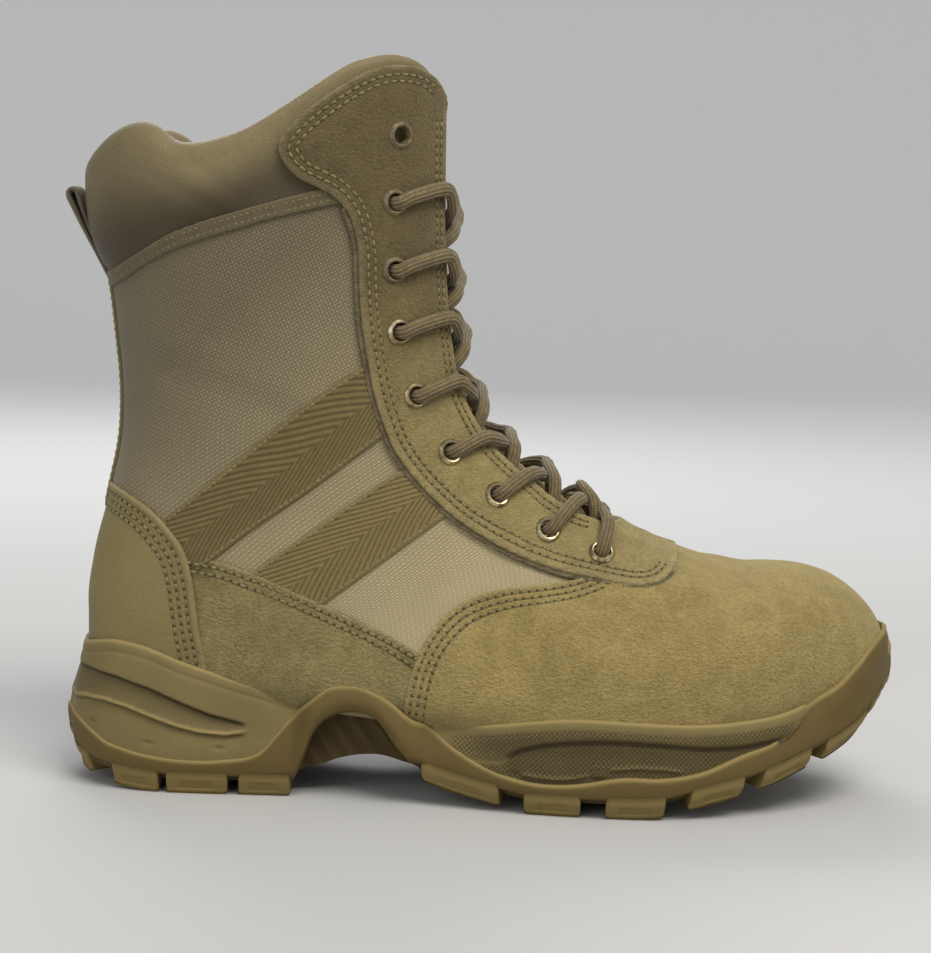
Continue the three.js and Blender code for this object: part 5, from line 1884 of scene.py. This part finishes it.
# Blocks in the middle of the tread: x ends, y ends, and the slant of each end (x gained over y).
MIDDLE_LUGS = [
    (-133, -120.5, -17, 17, 0, 0), (-115.5, -101.8, -18, 18, 0, 0), (-97.2, -69, -18, 17, 0, 0),
    (-9, 0.5, -24, 17, -0.36, -0.36), (6, 22.5, -29, 23, -0.36, 0.36), (29, 51, -31, 27, 0.36, -0.36),
    (58, 80.5, -31, 31, -0.36, 0.36), (87, 105.5, -24, 32, 0.36, -0.36), (112, 122, -14, 28, -0.36, 0),
]


def middle_lug(x0, x1, y0, y1, slant0, slant1, name):
    """A flat tread block: a cube set out by its four corners, bevelled all round."""
    bpy.ops.object.select_all(action="DESELECT")
    bpy.ops.mesh.primitive_cube_add(size=2, location=(0, 0, 0))
    block = bpy.context.object
    block.name = name
    middle_y = (y0 + y1) / 2
    for vertex in block.data.vertices:
        y = y1 if vertex.co.y > 0 else y0
        lean = abs(y - middle_y)
        x = x1 + slant1 * lean if vertex.co.x > 0 else x0 + slant0 * lean
        tread = float(sole_value(np.array([x]), 3)[0])
        z = tread + (TREAD_FLOOR + 2.0 if vertex.co.z > 0 else 0.0)
        vertex.co = (np.array([x, y, z]) + ORIGIN) * MM
    with_modifier(block, "BEVEL", width=0.8 * MM, segments=2, limit_method="ANGLE")
    for label in ("rim", "raw_edge_and_shade"):
        block.data.attributes.new(label, "FLOAT", "POINT")
    return finish(block, "rubber", 40)


def tread_plate():
    """The flat floor of the tread, sunk between the lugs, and the web that bridges the arch."""
    x = np.r_[np.linspace(-147.5, -68, 60), np.linspace(-67, -13, 110), np.linspace(-12, 147, 120)]
    tread = sole_value(x, 3)
    in_arch = (x > -66.6) & (x < -13.9)
    underside = np.where(in_arch, np.maximum(line_at(curve(ARCH_WEB, 1), x), tread + 1), tread + TREAD_FLOOR)
    underside = np.convolve(np.pad(underside, 2, mode="edge"), np.ones(5) / 5, "valid")
    blend = between(x, -69, -64, -17, -10)
    outer = sole_value(x, 1) - 6.5
    inner = sole_value(x, 2) - 6.5
    outer = outer * (1 - blend) + WEB["outer"] * blend
    inner = inner * (1 - blend) + WEB["inner"] * blend
    roof = np.maximum(underside + 5, 34 * blend)
    loops = []
    columns = np.linspace(0, 1, 16)
    for c in columns:
        y = -outer + (outer + inner) * c
        ribs = 0.9 * blend * np.abs(np.sin((x + 0.5 * np.abs(y)) / 3.1)) ** 3 * (0.06 < c < 0.94)
        crown = 0.6 * blend * math.sin(math.pi * c)
        loops.append(np.column_stack([x, y, underside - ribs + crown]))
    heights = np.linspace(0.08, 1, 10)
    for share, h in [(1.0, h) for h in heights] + [(0.0, h) for h in heights[::-1]]:
        z = underside + (roof - underside) * h
        fins = 1.1 * blend * np.abs(np.sin((x + 0.7 * z) / 2.4)) ** 4 * min(4 * h, 1)
        y = -outer + (outer + inner) * share + fins * (1 if share else -1)
        loops.append(np.column_stack([x, y, z]))
    grid = np.stack(loops, axis=1)
    count, size, _ = grid.shape
    # painted shade: the sunk tread floor is darker, the arch web darker still, most between its fins
    dark = 0.25 + 0.25 * blend[:, None] * np.ones(size)
    fins = np.abs(np.sin((x[:, None] + 0.7 * grid[:, :, 2]) / 2.4)) ** 4
    dark += 0.25 * blend[:, None] * (1 - fins)
    values = {"rim": np.zeros(count * size), "raw_edge_and_shade": np.clip(dark, 0, 1).ravel()}
    return make_object("tread_plate", grid.reshape(-1, 3), bar_faces(count, size), "rubber",
                       None, values, 42)


def outsole():
    parts = [outsole_wall(), tread_plate()]
    for side, label in SIDES:
        for k, (x0, x1) in enumerate(SIDE_LUGS):
            arcs = sorted([edge_line.arc_at(x0, side), edge_line.arc_at(x1, side)])
            parts.append(lug(*arcs, LUG_REACH if x1 < 110 else 13.0, f"lug_{label}_{k + 1}"))
    for middle, lugs, label in ((edge_line.toe, TOE_LUGS, "toe"), (edge_line.heel, HEEL_LUGS, "heel")):
        for k, (a0, a1) in enumerate(lugs):
            parts.append(lug(middle + a0, middle + a1, 11.0, f"lug_{label}_{k + 1}"))
    for k, block in enumerate(MIDDLE_LUGS):
        parts.append(middle_lug(*block, f"tread_block_{k + 1}"))
    choose(*parts)
    bpy.ops.object.join()
    piece = bpy.context.object
    piece.name = "outsole_rubber"
    face_outwards(piece)
    finish(piece, "rubber", 42)
    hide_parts("outsole")


def footbed():
    """The insole keeps its own node; it only gets its cloth."""
    for node in [o for o in bpy.context.scene.objects if o.name == "insole"]:
        node.data.materials.clear()
        node.data.materials.append(MATERIALS["footbed"])


def footbed_material():
    material, n, shader = surface("footbed cloth", 0.9, Specular_IOR_Level=0.2)
    place = n.place()
    speck = n.spread(noise(n, place, 1100, 3), 0.35, 0.65)
    n.link(n.mix(speck, (0.03, 0.025, 0.017), (0.085, 0.07, 0.045)), shader.inputs["Base Color"])
    bumped(n, shader, speck, 0.0003)
    return material


MATERIALS["footbed"] = footbed_material()


# ---- Stage and camera ----
def stage():
    """A pale floor that curves up far away into a backdrop all round, and three soft lights."""
    flat, bend, wall, steps = 2.2, 1.6, 2.2, 12  # metres: the flat floor, its curve, the wall's height
    rows = [(0.0, 0.0), (1.2, 0.0), (flat, 0.0)]
    for k in range(1, steps + 1):
        turn = math.pi / 2 * k / steps
        rows.append((flat + bend * math.sin(turn), bend * (1 - math.cos(turn))))
    rows.append((flat + bend, wall))
    count = 64
    points, faces = [(0, 0, 0)], []
    for radius, height in rows[1:]:
        for k in range(count):
            turn = 2 * math.pi * k / count
            points.append((radius * math.cos(turn), radius * math.sin(turn), height))
    faces += [(0, 1 + k, 1 + (k + 1) % count) for k in range(count)]
    for r in range(len(rows) - 2):
        for k in range(count):
            a, b = 1 + r * count + k, 1 + r * count + (k + 1) % count
            faces.append((a, a + count, b + count, b))
    mesh = bpy.data.meshes.new("studio_floor")
    mesh.from_pydata(points, [], faces)
    floor = added("studio_floor", mesh)
    choose(floor)
    bpy.ops.object.shade_smooth()
    material, n, shader = surface("pale floor", 0.9, Specular_IOR_Level=0.1)
    place = n.place()
    far = n.spread(n("ShaderNodeVectorMath", {0: place}, operation="LENGTH").outputs["Value"], 0.4, 2.0)
    shade = n.mix(noise(n, place, 3), (0.48, 0.475, 0.465), (0.51, 0.505, 0.495))
    shade = n.mix(far, shade, (0.86, 0.855, 0.84))
    n.link(shade, shader.inputs["Base Color"])
    floor.data.materials.append(material)

    def softbox(name, place, aim, size, power, colour):
        light = bpy.data.lights.new(name, "AREA")
        light.shape = "RECTANGLE"
        light.size, light.size_y = size
        light.energy = power
        light.color = colour
        lamp = added(name, light)
        lamp.location = place
        lamp.rotation_euler = (Vector(aim) - Vector(place)).to_track_quat("-Z", "Y").to_euler()

    softbox("key", (0.45, -0.7, 1.35), (0, 0, 0.1), (0.9, 0.7), 19, (1.0, 0.97, 0.91))
    softbox("fill", (-0.9, -1.3, 0.6), (0, 0, 0.1), (1.2, 1.0), 5.5, (0.95, 0.97, 1.0))
    softbox("back", (-0.3, 1.1, 1.1), (0, 0, 0.15), (1.0, 0.7), 11, (0.97, 0.98, 1.0))
    world = bpy.data.worlds.new("studio")
    world.use_nodes = True
    background = world.node_tree.nodes["Background"]
    background.inputs[0].default_value = (0.9, 0.93, 0.96, 1)
    background.inputs[1].default_value = 0.52
    bpy.context.scene.world = world
    bpy.context.scene.view_settings.view_transform = "Standard"


def camera():
    """The boot's outer side, seen from a little above its middle, and rolled a little."""
    place = Vector((-6.5, -800.5, 200.0)) * MM
    aim = Vector((-6.5, -0.5, 113.2)) * MM
    roll = math.radians(2.05)
    lens = bpy.data.cameras.new("camera")
    lens.lens, lens.sensor_width = 82.9, 36.0
    lens.clip_start = 0.01
    viewer = added("camera", lens)
    turn = (aim - place).to_track_quat("-Z", "Y") @ Quaternion((0, 0, 1), roll)
    viewer.location = place
    viewer.rotation_euler = turn.to_euler()
    bpy.context.scene.camera = viewer


def build():
    camera()
    stage()
    outsole()
    midsole()
    footbed()
    shaft()
    tape()
    straps()
    quarter(OUTER, "outer")
    quarter(INNER, "inner")
    vamp()
    backstay()
    counter()
    collar()
    tongue()
    facing_edge_layers()
    facing()
    pull_loop()
    eyelets()
    lace()
    SEWING.make("sewing")


build()
bpy.context.view_layer.update()
